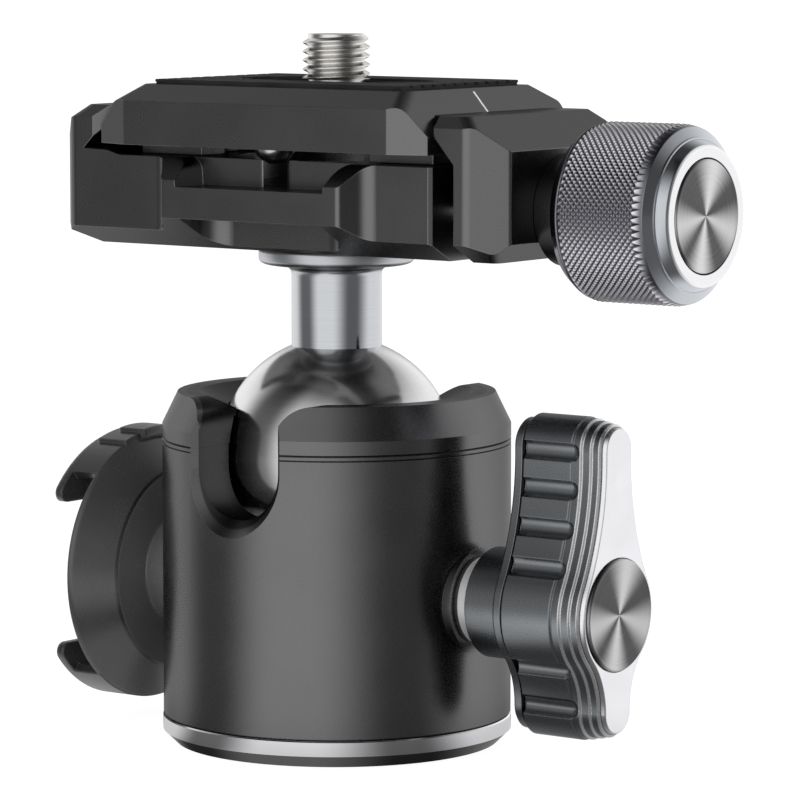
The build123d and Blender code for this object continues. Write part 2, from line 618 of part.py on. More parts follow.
with BuildPart() as clamp_base:
    along_y([
        (-22.4, CLAMP_Z), (BASE_RIGHT_X, CLAMP_Z), (BASE_RIGHT_X, BED_Z), (-17.4, BED_Z),
        (-18.9, GROOVE_Z - 0.1), (-GROOVE_X, GROOVE_Z), (-JAW_LIP_X, JAW_TOP_Z),
        (-JAW_SLOPE_X, JAW_TOP_Z), (BASE_LEFT_X, JAW_SLOPE_Z + 0.15), (BASE_LEFT_X, LOW_EDGE_Z),
    ], NOSE_Y)
    along_x(SECTION_YZ, BASE_LEFT_X - 1, BASE_RIGHT_X + 1, mode=Mode.INTERSECT)
    round_ridges(RIDGE_ROUND, JAW_SLOPE_X - 0.5)
    with BuildSketch(Plane.XY.offset(CLAMP_Z - 1)) as plan:
        with BuildLine():
            Polyline(*both_ends([
                (BASE_LEFT_X, -END_Y), (BASE_LEFT_X + LEFT_FACET_X, -CLAMP_Y), (-NOSE_X[1], -CLAMP_Y),
                (-NOSE_X[0], -NOSE_Y), (NOSE_X[0], -NOSE_Y), (NOSE_X[1], -CLAMP_Y),
                (BASE_RIGHT_X - BASE_CHAMFER, -CLAMP_Y), (BASE_RIGHT_X, BASE_CHAMFER - CLAMP_Y),
            ]), close=True)
        make_face()
        fillet(corners(NOSE_X[0], NOSE_Y), NOSE_ROUND)
        fillet(corners(NOSE_X[1], CLAMP_Y), NOSE_BLEND)
        fillet(corners(-BASE_LEFT_X - LEFT_FACET_X, CLAMP_Y), END_ROUND[0])
    extrude(plan.sketch, JAW_TOP_Z - CLAMP_Z + 2, mode=Mode.INTERSECT)
    for end in (-1, 1):
        with BuildSketch(Plane.XY.offset(CLAMP_Z)) as relief:
            with Locations((0, end * 12.0)):
                RectangleRounded(16.4, 7.0, 2.6)
        extrude(relief.sketch, NOSE_Z[0] - CLAMP_Z, mode=Mode.SUBTRACT)
    cut_lip([(-20.6, CLAMP_Y), (-JAW_LIP_X, END_Y), (-17.0, END_Y), (-17.0, CLAMP_Y + 1), (-20.6, CLAMP_Y + 1)])
    # window through the middle, with ends that curve outwards to the bed
    with BuildSketch(Plane.XZ) as window:
        with BuildLine():
            side_x = POCKET_X + 0.1
            side_z = POCKET_Z + 1.2
            bend = BED_Z + 0.01 - side_z
            part_way = bend * (1 - sqrt(0.5))
            mouth = side_x + bend
            top = side_z + bend
            Line((-POCKET_X, POCKET_Z), (POCKET_X, POCKET_Z))
            Line((POCKET_X, POCKET_Z), (side_x, side_z))
            ThreePointArc((side_x, side_z), (side_x + part_way, top - part_way), (mouth, top))
            Line((mouth, top), (-mouth, top))
            ThreePointArc((-mouth, top), (-side_x - part_way, top - part_way), (-side_x, side_z))
            Line((-side_x, side_z), (-POCKET_X, POCKET_Z))
        make_face()
    for end in (-1, 1):
        with BuildPart(mode=Mode.PRIVATE) as opening:
            extrude(window.sketch, 5.0 if end > 0 else -5.0)
        add(opening.part.moved(Location((0, -end * 9.3, 0))), mode=Mode.SUBTRACT)
    rod_z(POCKET_Z, BED_Z + 0.1, POCKET_R, mode=Mode.SUBTRACT)
    rod_z(CLAMP_Z - 1, POCKET_Z, 2.05, mode=Mode.SUBTRACT)
    turned([(0, 50.9), (2.05, 50.9), (4.1, 52.81), (0, 52.81)], mode=Mode.SUBTRACT)
    rod_x(7.0, BASE_RIGHT_X, STUD_R + FIT, z=STUD_Z, mode=Mode.SUBTRACT)
    rod_x(13.0, BASE_RIGHT_X, SLEEVE_R, z=STUD_Z, mode=Mode.SUBTRACT)
    for end in (-1, 1):
        rod_x(12.5, BASE_RIGHT_X, PIN_R, y=end * PIN_Y, z=STUD_Z, mode=Mode.SUBTRACT)
save(clamp_base.part, "clamp_base")

with BuildPart() as stem_screw:
    turned([(0, 40.3), (2.0, 40.3), (2.0, 50.95), (3.9, 52.7), (1.5, 52.7), (1.5, 51.3), (0, 51.3)])
save(stem_screw.part, "stem_screw")

with BuildPart() as guide_pins:
    for end in (-1, 1):
        rod_x(12.6, 24.9, PIN_R, y=end * PIN_Y, z=STUD_Z)
save(guide_pins.part, "guide_pins")

with BuildPart() as stud_sleeve:
    turned_x([(13.0, STUD_R + 0.5), (13.0, SLEEVE_R), (21.1, SLEEVE_R), (21.1, STUD_R + 0.5)], STUD_Z)
save(stud_sleeve.part, "stud_sleeve")

with BuildPart() as moving_jaw:
    along_y([
        (JAW_IN_X, CLAMP_Z), (24.0, CLAMP_Z), (JAW_OUT_X, LOW_EDGE_Z), (JAW_OUT_X, JAW_SLOPE_Z),
        (JAW_SLOPE_X, JAW_TOP_Z), (JAW_LIP_X, JAW_TOP_Z), (JAW_IN_X, GROOVE_Z - 0.2),
    ], CLAMP_Y + OVERRUN)
    along_x(SECTION_YZ, JAW_LIP_X - 1, JAW_OUT_X + 1, mode=Mode.INTERSECT)
    round_ridges(RIDGE_ROUND, JAW_SLOPE_X)
    with BuildSketch(Plane.XY.offset(CLAMP_Z - 1)) as plan:
        with BuildLine():
            Polyline(*both_ends([(JAW_LIP_X - 1, -CLAMP_Y), (JAW_OUT_X - END_FACET_X, -CLAMP_Y),
                                 (JAW_OUT_X, -END_Y)]), close=True)
        make_face()
        fillet(corners(JAW_OUT_X - END_FACET_X, CLAMP_Y), END_ROUND[0])
        fillet(corners(JAW_OUT_X, END_Y), END_ROUND[1])
    extrude(plan.sketch, JAW_TOP_Z - CLAMP_Z + 2, mode=Mode.INTERSECT)
    for end in (-1, 1):
        rod_x(JAW_IN_X - 1, 25.2, PIN_R + FIT, y=end * PIN_Y, z=STUD_Z, mode=Mode.SUBTRACT)
    cut_lip([(17.0, 8.4), (JAW_LIP_X, 8.4), (JAW_LIP_X + 0.45, 9.2), (19.2, 9.9),
             (19.2, CLAMP_Y + 0.1), (17.0, CLAMP_Y + 0.1)])
    rod_x(JAW_IN_X - 1, JAW_OUT_X + 1, STUD_R + FIT, z=STUD_Z, mode=Mode.SUBTRACT)
save(moving_jaw.part, "moving_jaw")

# ============================ clamp knob ====================================
with BuildPart() as clamp_grip:
    x0, x1, x2, x3 = KNOB_X
    turned_x([
        (x0, 0), (x0, KNOB_R - 0.8), (x0 + 1.3, KNOB_R), (x1 - 0.2, KNOB_R), (x1, KNOB_R - 0.12),
        (x2, KNOB_BOSS_R + 0.35), (x2 + 0.1, KNOB_BOSS_R), (x2 + 0.4, KNOB_BOSS_R - 0.1),
        (x3 - 0.15, KNOB_BOSS_R - 0.45), (x3, KNOB_BOSS_R - 0.75), (x3, KNOB_CAP_R + CAP_GAP),
        (x3 - KNOB_RECESS, KNOB_CAP_R + CAP_GAP), (x3 - KNOB_RECESS, 0),
    ], STUD_Z)
    rod_x(x0, x3 - 3, STUD_R, z=STUD_Z, mode=Mode.SUBTRACT)
save(clamp_grip.part, "clamp_grip")

with BuildPart() as clamp_cap:
    cap_disc(KNOB_X[3] - KNOB_RECESS, KNOB_CAP_X, KNOB_CAP_R, STUD_Z)
save(clamp_cap.part, "clamp_cap")

with BuildPart() as clamp_neck:
    turned_x([(JAW_OUT_X + FIT, STUD_R), (JAW_OUT_X + FIT, NECK_R), (KNOB_X[0], NECK_R),
              (KNOB_X[0], STUD_R)], STUD_Z)
save(clamp_neck.part, "clamp_neck")

with BuildPart() as clamp_stud:
    turned_x([(8.2, 0), (8.2, STUD_R - 0.4), (8.6, STUD_R), (KNOB_X[3] - 3, STUD_R), (KNOB_X[3] - 3, 0)],
             STUD_Z)
save(clamp_stud.part, "clamp_stud")

# ============================ quick-release plate ===========================
with BuildPart() as quick_plate:
    z_under, z_lip, z_slope, z_top = PLATE_Z
    cut_x, cut_y = PLATE_CORNER
    run_y = 3.7              # the front slopes run on past the front planes until they are trimmed
    run_z = run_y * (z_top - z_slope) / (PLATE_Y - PLATE_TOP[1])
    along_y(mirrored([(PLATE_X, z_under), (PLATE_X, z_lip), (PLATE_TOP[0], z_top)]), PLATE_Y + run_y)
    along_x(mirrored([(PLATE_Y + run_y, z_under), (PLATE_Y + run_y, z_slope - run_z),
                      (PLATE_TOP[1], z_top)]), -PLATE_X, PLATE_X, Mode.INTERSECT)
    round_ridges(PLATE_ROUND, PLATE_TOP[0])
    along_z(mirrored([(PLATE_X - cut_x, -PLATE_Y), (PLATE_X, cut_y - PLATE_Y),
                      (PLATE_X, PLATE_Y - cut_y), (PLATE_X - cut_x, PLATE_Y)]), z_under, z_top, Mode.INTERSECT)
    for side in (-1, 1):
        with BuildSketch(Plane.XY.offset(BED_Z + FIT)) as runner:
            with Locations((side * sum(RUNNER_X) / 2, 0)):
                Rectangle(RUNNER_X[1] - RUNNER_X[0], 2 * RUNNER_Y)
        extrude(runner.sketch, z_under - BED_Z - FIT)
    for z0, z1, radius, length in (
            (BED_Z, 58.4, HEAD_R + 0.25, 2 * (SCREW_TRAVEL + HEAD_R + 0.25)),
            (58.4, SLOT_FLOOR_Z, NECK_SCREW_R + 0.2, 2 * (SCREW_TRAVEL + NECK_SCREW_R + 0.2)),
            (SLOT_FLOOR_Z, z_top, SLOT_SIZE[1] / 2, SLOT_SIZE[0])):
        with BuildSketch(Plane.XY.offset(z0)) as slot:
            SlotOverall(length, 2 * radius)
        extrude(slot.sketch, z1 - z0, mode=Mode.SUBTRACT)
    for side in (-1, 1):
        rod_z(z_under, 58.6, 1.25, y=side * STOP_Y, mode=Mode.SUBTRACT)
save(quick_plate.part, "quick_plate")

with BuildPart() as rubber_pad:
    with BuildSketch(Plane.XY.offset(PLATE_Z[3])) as sheet:
        RectangleRounded(PAD_SIZE[0], PAD_SIZE[1], 0.6)
        SlotOverall(*SLOT_SIZE, mode=Mode.SUBTRACT)
    extrude(sheet.sketch, PAD_SIZE[2])
save(rubber_pad.part, "rubber_pad")

with BuildPart() as stop_screws:
    z_dome = PLATE_Z[0] - 0.01
    dome_h = z_dome - STOP_Z
    dome_r = (STOP_R ** 2 + dome_h ** 2) / (2 * dome_h)
    half_angle = asin(STOP_R / dome_r) / 2
    with BuildSketch(Plane.XZ) as section:
        with BuildLine():
            Polyline((0, STOP_Z), (0, 58.5), (SCREW_R, 58.5), (SCREW_R, z_dome), (STOP_R, z_dome))
            ThreePointArc((STOP_R, z_dome),
                          (dome_r * sin(half_angle), STOP_Z + dome_r * (1 - cos(half_angle))),
                          (0, STOP_Z))
        make_face()
    stop = revolve(section.sketch, axis=Axis.Z, mode=Mode.PRIVATE)
    with Locations((0, -STOP_Y), (0, STOP_Y)):
        add(stop)
save(stop_screws.part, "stop_screws")

# Camera screw: head below, necked shank in the slot, thread above the plate.
with BuildPart() as camera_screw:
    turned([
        (0, HEAD_Z[0]), (HEAD_R, HEAD_Z[0]), (HEAD_R, HEAD_Z[1]), (NECK_SCREW_R, HEAD_Z[1]),
        (NECK_SCREW_R, SCREW_THREAD_Z), (SOCKET_R, SCREW_THREAD_Z),
        (SOCKET_R, SCREW_TOP_Z - THREAD_CHAMFER), (SOCKET_R - THREAD_CHAMFER, SCREW_TOP_Z), (0, SCREW_TOP_Z),
    ])
    with BuildSketch(Plane.XY.offset(HEAD_Z[0])) as driver_slot:
        Rectangle(2 * HEAD_R, 1.2)
    extrude(driver_slot.sketch, 0.9, mode=Mode.SUBTRACT)
save(camera_screw.part, "camera_screw")

with BuildPart() as screw_clip:
    with BuildSketch(Plane.XY.offset(SLOT_FLOOR_Z + FIT)) as clip:
        Circle(3.5)
        Circle(NECK_SCREW_R + FIT, mode=Mode.SUBTRACT)
        with Locations((0, 3)):
            Rectangle(1.6, 3, mode=Mode.SUBTRACT)
    extrude(clip.sketch, 0.55)
save(screw_clip.part, "screw_clip")
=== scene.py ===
from math import atan2, cos, degrees, pi, radians, sin, sqrt

import bmesh
import bpy
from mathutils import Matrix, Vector


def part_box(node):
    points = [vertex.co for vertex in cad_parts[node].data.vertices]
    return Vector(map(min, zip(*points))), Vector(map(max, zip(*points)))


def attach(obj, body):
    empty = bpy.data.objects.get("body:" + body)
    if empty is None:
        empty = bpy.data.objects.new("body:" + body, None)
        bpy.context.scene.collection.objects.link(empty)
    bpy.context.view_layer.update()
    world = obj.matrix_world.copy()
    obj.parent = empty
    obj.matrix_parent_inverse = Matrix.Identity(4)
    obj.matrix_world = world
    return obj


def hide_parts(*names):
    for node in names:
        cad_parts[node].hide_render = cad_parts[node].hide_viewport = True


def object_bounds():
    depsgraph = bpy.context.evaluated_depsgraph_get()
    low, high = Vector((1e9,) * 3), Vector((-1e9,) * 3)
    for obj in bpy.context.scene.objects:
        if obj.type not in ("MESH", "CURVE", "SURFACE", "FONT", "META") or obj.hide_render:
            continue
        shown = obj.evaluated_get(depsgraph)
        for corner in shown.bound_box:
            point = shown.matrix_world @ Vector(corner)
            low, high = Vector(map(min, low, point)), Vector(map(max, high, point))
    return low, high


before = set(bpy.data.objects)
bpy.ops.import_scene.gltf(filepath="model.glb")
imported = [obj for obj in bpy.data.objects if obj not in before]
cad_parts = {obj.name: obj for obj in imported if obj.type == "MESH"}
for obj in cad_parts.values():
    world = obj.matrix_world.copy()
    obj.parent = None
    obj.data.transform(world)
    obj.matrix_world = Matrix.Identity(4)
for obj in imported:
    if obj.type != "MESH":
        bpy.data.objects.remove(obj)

# A tripod ball head with its quick-release clamp, on a plain studio floor.
# Blender works in metres; MM turns the object's own millimetres into metres.
MM = 0.001
CAD_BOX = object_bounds()
ORIGIN = (0.0, 0.0, 0.0)
AXIS_X = 0                # the axes that things turn about, by their place in a vector
AXIS_Z = 2

# ---- camera ------------------------------------------------------------------
CAMERA_AT = (0.25491, -0.33706, 0.07864)
CAMERA_TURN = 36.289      # degrees about +Z
CAMERA_PITCH = 6.261      # degrees downwards
CAMERA_LENS = 202.34      # millimetres, on a 36 mm sensor

# ---- studio ------------------------------------------------------------------
# Azimuths are degrees about +Z from +X; the camera stands at FACING.
FACING = degrees(atan2(CAMERA_AT[1], CAMERA_AT[0]))
AMBIENT = 1.0             # what matt surfaces receive from all round
# Grey flags that stand between the soft boxes: azimuth, half width, soft edge, depth.
FLAGS = (
    (FACING - 89, 26, 17, 0.88),
    (FACING + 43, 33, 24, 0.91),
    (FACING + 180, 12, 9, 0.6),
)
CEILING = (14.0, 66.0, 0.95)     # from and to what height the walls' light fades, and how much of it
FRONT_LIFT = 8.0          # how much higher the front soft box reaches, in degrees
FRONT_BOX = (FACING - 30, 20, 50)   # its azimuth, and from and to how far aside its lift fades
BASE_REACH = 0.009        # how far the round base stands out towards what it reflects
FLOOR_SINK = 0.02 * MM    # the floor lies this far below the base
FLOOR_HALF = 6.0          # half the floor's width
FLOOR_TONE = 0.8          # the share of light that the matt floor gives back
FLOOR_PAINTED_SHADOW = (0.02, 0.045, 0.35)  # from and to what reach metal sees a painted shadow on the floor, and how dark it is
FLOOR_WHITE = 1.16        # the floor's glow as the camera sees it
FLOOR_SHARE = 0.82        # how much of the floor is glow to the camera, and to metal
FLOOR_METAL_SHARE = 0.92
LAMP_AIM = Vector((0, 0, 0.035))    # the point on the object that the lamp faces


# ============================== node helpers ==================================
MIX_COLOURS = (6, 7)      # the mix node's sockets for colours
MIX_RESULT = 2


class Nodes:
    """A node tree with short calls that add, set and link its nodes."""

    def __init__(self, tree):
        self.tree = tree
        tree.nodes.clear()

    def add(self, kind, inputs=(), **settings):
        node = self.tree.nodes.new(kind)
        for name, value in settings.items():
            setattr(node, name, value)
        for name, value in dict(inputs).items():
            self.set(node.inputs[name], value)
        return node

    def set(self, socket, value):
        if isinstance(value, bpy.types.NodeSocket):
            self.tree.links.new(value, socket)
        else:
            socket.default_value = value

    def fill(self, node, values):
        """Set or link a node's first inputs in their order."""
        for socket, value in zip(node.inputs, values):
            self.set(socket, value)
        return node

    def math(self, operation, *values):
        return self.fill(self.add("ShaderNodeMath", operation=operation), values).outputs[0]

    def vector(self, operation, *values):
        node = self.fill(self.add("ShaderNodeVectorMath", operation=operation), values)
        return node.outputs["Value"] if operation == "DOT_PRODUCT" else node.outputs[0]

    def parts(self, vector):
        """The X, Y and Z of a vector."""
        return self.add("ShaderNodeSeparateXYZ", {"Vector": vector}).outputs

    def smooth(self, value, low, high, start=0.0, end=1.0):
        """A soft step: start below low, end above high."""
        node = self.add("ShaderNodeMapRange", interpolation_type="SMOOTHSTEP")
        return self.fill(node, (value, low, high, start, end)).outputs[0]

    def mix(self, factor, a, b):
        """Mix two colours."""
        node = self.add("ShaderNodeMix", {"Factor": factor}, data_type="RGBA")
        for number, colour in zip(MIX_COLOURS, (a, b)):
            self.set(node.inputs[number], colour)
        return node.outputs[MIX_RESULT]


def grey(value, blue=0.0):
    """A grey, with a little blue where asked."""
    return (value, value, value + blue, 1.0)


def scaled(colour, factor):
    """A colour made paler or darker."""
    return tuple(min(1.0, c * factor) for c in colour[:3]) + (1.0,)


def material(name, **fixed):
    """A principled material with its uniform values set on its own sockets."""
    made = bpy.data.materials.new(name)
    made.use_nodes = True
    nodes = Nodes(made.node_tree)
    surface = nodes.add("ShaderNodeBsdfPrincipled")
    for socket, value in fixed.items():
        surface.inputs[socket.replace("_", " ")].default_value = value
    nodes.add("ShaderNodeOutputMaterial", {"Surface": surface.outputs[0]})
    return made, nodes, surface


def finish_look(nodes, surface, base, roughness, height, depth, normal=None):
    """Give a surface its colour, its roughness and a bump of a given depth."""
    nodes.set(surface.inputs["Base Color"], base)
    nodes.set(surface.inputs["Roughness"], roughness)
    bump = nodes.add("ShaderNodeBump", {"Height": height, "Distance": depth, "Strength": 1.0})
    if normal:
        nodes.set(bump.inputs["Normal"], normal)
    nodes.set(surface.inputs["Normal"], bump.outputs[0])


def noise(nodes, where, size, detail=2.0, rough=0.5):
    """Noise with features of a given size in metres."""
    node = nodes.add("ShaderNodeTexNoise", {"Vector": where, "Scale": 1 / size, "Detail": detail,
                                            "Roughness": rough})
    return node.outputs["Fac"]


def spread(nodes, value, low, high):
    """Turn noise about a half into numbers from low to high."""
    return nodes.smooth(value, 0.3, 0.7, low, high)


def uneven(nodes, roughness, fine, by_fine, wide, below, above):
    """A roughness that fine grain and wide clouds vary."""
    return nodes.math("ADD", spread(nodes, fine, -by_fine, by_fine),
                      spread(nodes, wide, roughness - below, roughness + above))


def highlit_edge(nodes, radius, fine):
    """How much a point lies on a sharp outer edge, unevenly, for a painted highlight there, and the rounded
    normal there.
    """
    bevel = nodes.add("ShaderNodeBevel", {"Radius": radius}, samples=6).outputs[0]
    flat = nodes.add("ShaderNodeNewGeometry").outputs["Normal"]
    turned = nodes.math("SUBTRACT", 1.0, nodes.vector("DOT_PRODUCT", bevel, flat))
    edge_highlight = nodes.math("MULTIPLY", nodes.smooth(turned, 0.02, 0.2), spread(nodes, fine, 0.85, 1.0))
    return edge_highlight, bevel


def place(nodes):
    """The point on the object, in metres in its own frame."""
    return nodes.add("ShaderNodeTexCoord").outputs["Object"]


def facing(nodes):
    """The X, Y and Z of the surface's normal, in the object's own frame."""
    return nodes.parts(nodes.add("ShaderNodeTexCoord").outputs["Normal"])


def about_axis(nodes, axis, centre):
    """Distance from a lathe axis and position along it, as one vector."""
    offset = nodes.vector("SUBTRACT", place(nodes), centre)
    parts = nodes.parts(offset)
    along = parts[axis]
    across = [parts[i] for i in (0, 1, 2) if i != axis]
    square = nodes.math("ADD", nodes.math("MULTIPLY", across[0], across[0]),
                        nodes.math("MULTIPLY", across[1], across[1]))
    return nodes.add("ShaderNodeCombineXYZ", {"X": nodes.math("SQRT", square), "Y": along}).outputs[0]


def away_from(nodes, azimuth, centre):
    """How far an azimuth is from a given one, in radians."""
    turn = nodes.math("SUBTRACT", azimuth, radians(centre))
    return nodes.math("ABSOLUTE", nodes.math("WRAP", turn, pi, -pi))


# ============================== materials =====================================
BORE_PAINTED_SHADE = 0.4          # the bore and slot walls, painted darker as shade, against the outside
INNER_BLUR = 0.1 * MM     # half the width of the change between them
CONE_Z = 30.5 * MM        # where the collar starts to draw in, and how fast
CONE_SLOPE = 0.57
EDGE_HIGHLIGHT_TONE = 2.4           # painted highlights on sharp edges against the faces beside them
EDGE_WIDTH = 0.1 * MM     # how far round an edge the painted highlight and the rounded normal reach
UNDER_PAINTED_SHADE = 0.12         # the painted shade on a flange's underside
GROOVE_PAINTED_SHADE = 0.03        # and on a groove's wall
KNURL_DEPTH = 0.19 * MM   # from crest to root
# A knurl's roots are painted dark as shade; its crests have the metal's colour.
KNURL_ROOT_SHADE = (0.185, 0.185, 0.205, 1.0)
KNURL_CREST_TONE = (0.88, 0.88, 0.93, 1.0)
# The spokes of light painted on a spun face: angle about its axis and half width, both in degrees.
PAINTED_SPOKES = ((76, 23), (-20, 20), (-103, 17), (-171, 18))
PAINTED_SPOKE_SHADE = 0.13         # the painted shade between them


def outside(nodes, inner):
    """Nought within a radius about Z and one beyond it; the radius draws in with the collar's cone."""
    radius, height, _ = nodes.parts(about_axis(nodes, AXIS_Z, ORIGIN))
    above = nodes.math("MAXIMUM", nodes.math("SUBTRACT", height, CONE_Z), 0.0)
    radius = nodes.math("ADD", radius, nodes.math("MULTIPLY", above, CONE_SLOPE))
    return nodes.smooth(radius, inner - INNER_BLUR, inner + INNER_BLUR)


def anodised(name, colour, roughness, grain=0.12 * MM, relief=0.0015 * MM, edge=0.6, cloud=0.05, highlight_width=0.0,
             highlight_tone=EDGE_HIGHLIGHT_TONE, inner=None):
    """Bead-blasted and anodised aluminium: fine grain, faint clouds, and a painted highlight along its edges.

    edge is how bright it is at grazing angles. highlight_width is the width of the painted edge highlight and
    highlight_tone how much paler it is; inner is the radius about Z within which shade is painted darker.
    """
    made, nodes, surface = material(name, Metallic=1.0, Specular_Tint=grey(edge))
    where = place(nodes)
    fine = noise(nodes, where, grain, 3.0, 0.6)
    wide = noise(nodes, where, 6 * MM)
    tone = nodes.math("ADD", nodes.math("MULTIPLY", fine, 0.6), nodes.math("MULTIPLY", wide, 0.4))
    base = nodes.mix(nodes.smooth(tone, 0.35, 0.65), scaled(colour, 1 - cloud), scaled(colour, 1 + cloud))
    # Within the bore the colour is painted darker as shade.
    if inner:
        base = nodes.mix(outside(nodes, inner), scaled(colour, BORE_PAINTED_SHADE), base)
    rounded_normal = None
    # Sharp edges get a painted highlight.
    if highlight_width:
        edge_highlight, rounded_normal = highlit_edge(nodes, highlight_width, fine)
        base = nodes.mix(edge_highlight, base, scaled(colour, highlight_tone))
    gloss = uneven(nodes, roughness, fine, 0.03, wide, 0.02, 0.02)
    finish_look(nodes, surface, base, gloss, fine, relief, rounded_normal)
    return made


def turned_metal(name, colour, roughness, axis=AXIS_Z, centre=ORIGIN, line=0.05 * MM, relief=0.0006 * MM,
                 cloud=0.05, satin=None, crest=None):
    """Lathe-turned metal: fine marks that run round the axis.

    satin is from and to where it turns rougher, and by how much; what faces down there is painted dark
    as shade. crest is the radius of a knurl's crests, which have the metal's colour; its roots are painted
    dark as shade.
    """
    made, nodes, surface = material(name, Metallic=1.0, Specular_Tint=grey(1.0))
    marks = noise(nodes, about_axis(nodes, axis, centre), line, 3.0, 0.65)
    wide = noise(nodes, place(nodes), 4 * MM)
    if crest:
        radius = nodes.parts(about_axis(nodes, axis, centre))[0]
        # The roots are painted dark as shade.
        base = nodes.mix(nodes.smooth(radius, crest - KNURL_DEPTH, crest), KNURL_ROOT_SHADE, colour)
    else:
        base = nodes.mix(spread(nodes, marks, 0.0, 1.0), scaled(colour, 1 - cloud), scaled(colour, 1 + cloud))
    gloss = uneven(nodes, roughness, marks, 0.02, wide, 0.01, 0.02)
    if satin:
        start, end, added = satin
        along = nodes.parts(place(nodes))[axis]
        gloss = nodes.math("ADD", gloss, nodes.smooth(along, start, end, 0.0, added))
        # What faces down there is painted dark as shade.
        under = nodes.smooth(facing(nodes)[axis], -0.9, -0.3, 1.0, 0.0)
        painted_shade = nodes.math("MULTIPLY", under, nodes.smooth(along, start, end))
        base = nodes.mix(painted_shade, base, grey(UNDER_PAINTED_SHADE))
    finish_look(nodes, surface, base, gloss, marks, relief)
    return made


def spun_metal(name, colour, centre):
    """The face of a cap, spun on a lathe: fine rings, and a painted sheen that fans out from its middle."""
    made, nodes, surface = material(name, Metallic=1.0, Anisotropic=0.8, Anisotropic_Rotation=0.25)
    rings = noise(nodes, about_axis(nodes, AXIS_X, centre), 0.06 * MM, 2.0, 0.7)
    offset = nodes.parts(nodes.vector("SUBTRACT", place(nodes), centre))
    turn = nodes.math("ARCTAN2", offset["Z"], offset["Y"])
    sheen = spread(nodes, rings, -0.06, 0.06)
    # The spokes are painted into the colour as a sheen.
    for angle, half in PAINTED_SPOKES:
        spoke = nodes.smooth(away_from(nodes, turn, angle), 0.0, radians(half * 2), 1.0, 0.0)
        sheen = nodes.math("ADD", sheen, spoke)
    base = nodes.mix(nodes.math("MINIMUM", sheen, 1.0), scaled(colour, PAINTED_SPOKE_SHADE), colour)
    tangent = nodes.add("ShaderNodeTangent", direction_type="RADIAL", axis="X")
    nodes.set(surface.inputs["Tangent"], tangent.outputs[0])
    finish_look(nodes, surface, base, spread(nodes, rings, 0.27, 0.34), rings, 0.0008 * MM)
    return made


def edged_metal(name, colour, bright, roughness, low, high, start=0.0, groove=0.0):
    """Anodised metal whose chamfers between its sides and its front are painted bright as a highlight, from X
    = start on.

    A chamfer's normal has between low and high of its length along X, and sharp edges share its painted
    highlight. Walls that face forwards behind X = groove are painted dark as the shade in that groove.
    """
    made, nodes, surface = material(name, Metallic=1.0, Specular_Tint=grey(0.7))
    fine = noise(nodes, place(nodes), 0.08 * MM, 3.0, 0.6)
    wide = noise(nodes, place(nodes), 5 * MM)
    forwards = nodes.math("ABSOLUTE", facing(nodes)[0])
    along = nodes.parts(place(nodes))[0]
    # Chamfers, and the sharp edges below, are painted bright as a highlight.
    chamfer = nodes.math("MULTIPLY", nodes.smooth(forwards, low, low + 0.1),
                         nodes.smooth(forwards, high, high + 0.08, 1.0, 0.0))
    edge_highlight, rounded_normal = highlit_edge(nodes, EDGE_WIDTH * 1.4, fine)
    ahead = nodes.smooth(along, start - 0.1 * MM, start + 0.1 * MM)
    chamfer = nodes.math("MULTIPLY", nodes.math("MAXIMUM", chamfer, edge_highlight), ahead)
    # Forward walls inside the groove are painted dark as shade.
    painted_shade = nodes.math("MULTIPLY", nodes.smooth(forwards, 0.2, 0.6),
                      nodes.smooth(along, groove, groove + 0.2 * MM, 1.0, 0.0))
    base = nodes.mix(spread(nodes, wide, 0.0, 1.0), scaled(colour, 0.94), colour)
    base = nodes.mix(chamfer, nodes.mix(painted_shade, base, grey(GROOVE_PAINTED_SHADE)), bright)
    gloss = nodes.math("ADD", spread(nodes, fine, -0.02, 0.02), roughness)
    finish_look(nodes, surface, base, gloss, fine, 0.0004 * MM, rounded_normal)
    return made


def moulded_plastic(name, colour, roughness, round_over=0.0, steps=()):
    """Satin moulded plastic with a spark-eroded grain, and edges the mould rounds over.

    steps are pairs: an X past which the tone is painted to stand for light and shade, and its factor. Rounded
    edges get a painted highlight, and where there are steps only up to the first.
    """
    made, nodes, surface = material(name, Specular_IOR_Level=0.9)
    where = place(nodes)
    fine = noise(nodes, where, 0.12 * MM, 3.0, 0.6)
    wide = noise(nodes, where, 5 * MM)
    along = nodes.parts(where)[0]
    base = nodes.mix(spread(nodes, wide, 0.0, 1.0), scaled(colour, 0.85), colour)
    # Painted light and shade in steps along X.
    for x, factor in steps:
        past = nodes.smooth(along, x - 0.02 * MM, x + 0.02 * MM)
        base = nodes.mix(past, base, scaled(colour, factor))
    rounded_normal = None
    if round_over:
        edge_highlight, rounded_normal = highlit_edge(nodes, round_over, fine)
        if steps:
            first = steps[0][0]
            edge_highlight = nodes.math("MULTIPLY", edge_highlight, nodes.smooth(along, first, first + 0.5 * MM, 1.0, 0.0))
        base = nodes.mix(edge_highlight, base, scaled(colour, EDGE_HIGHLIGHT_TONE))
    gloss = uneven(nodes, roughness, fine, 0.05, wide, 0.03, 0.03)
    finish_look(nodes, surface, base, gloss, fine, 0.003 * MM, rounded_normal)
    return made


def rubber(name, colour):
    """Matt rubber with a dusty bloom."""
    made, nodes, surface = material(name, Specular_IOR_Level=0.35)
    where = place(nodes)
    fine = noise(nodes, where, 0.1 * MM, 4.0, 0.7)
    bloom = noise(nodes, where, 3 * MM, 3.0)
    base = nodes.mix(spread(nodes, bloom, 0.0, 1.0), colour, scaled(colour, 1.6))
    finish_look(nodes, surface, base, spread(nodes, fine, 0.6, 0.8), fine, 0.01 * MM)
    return made


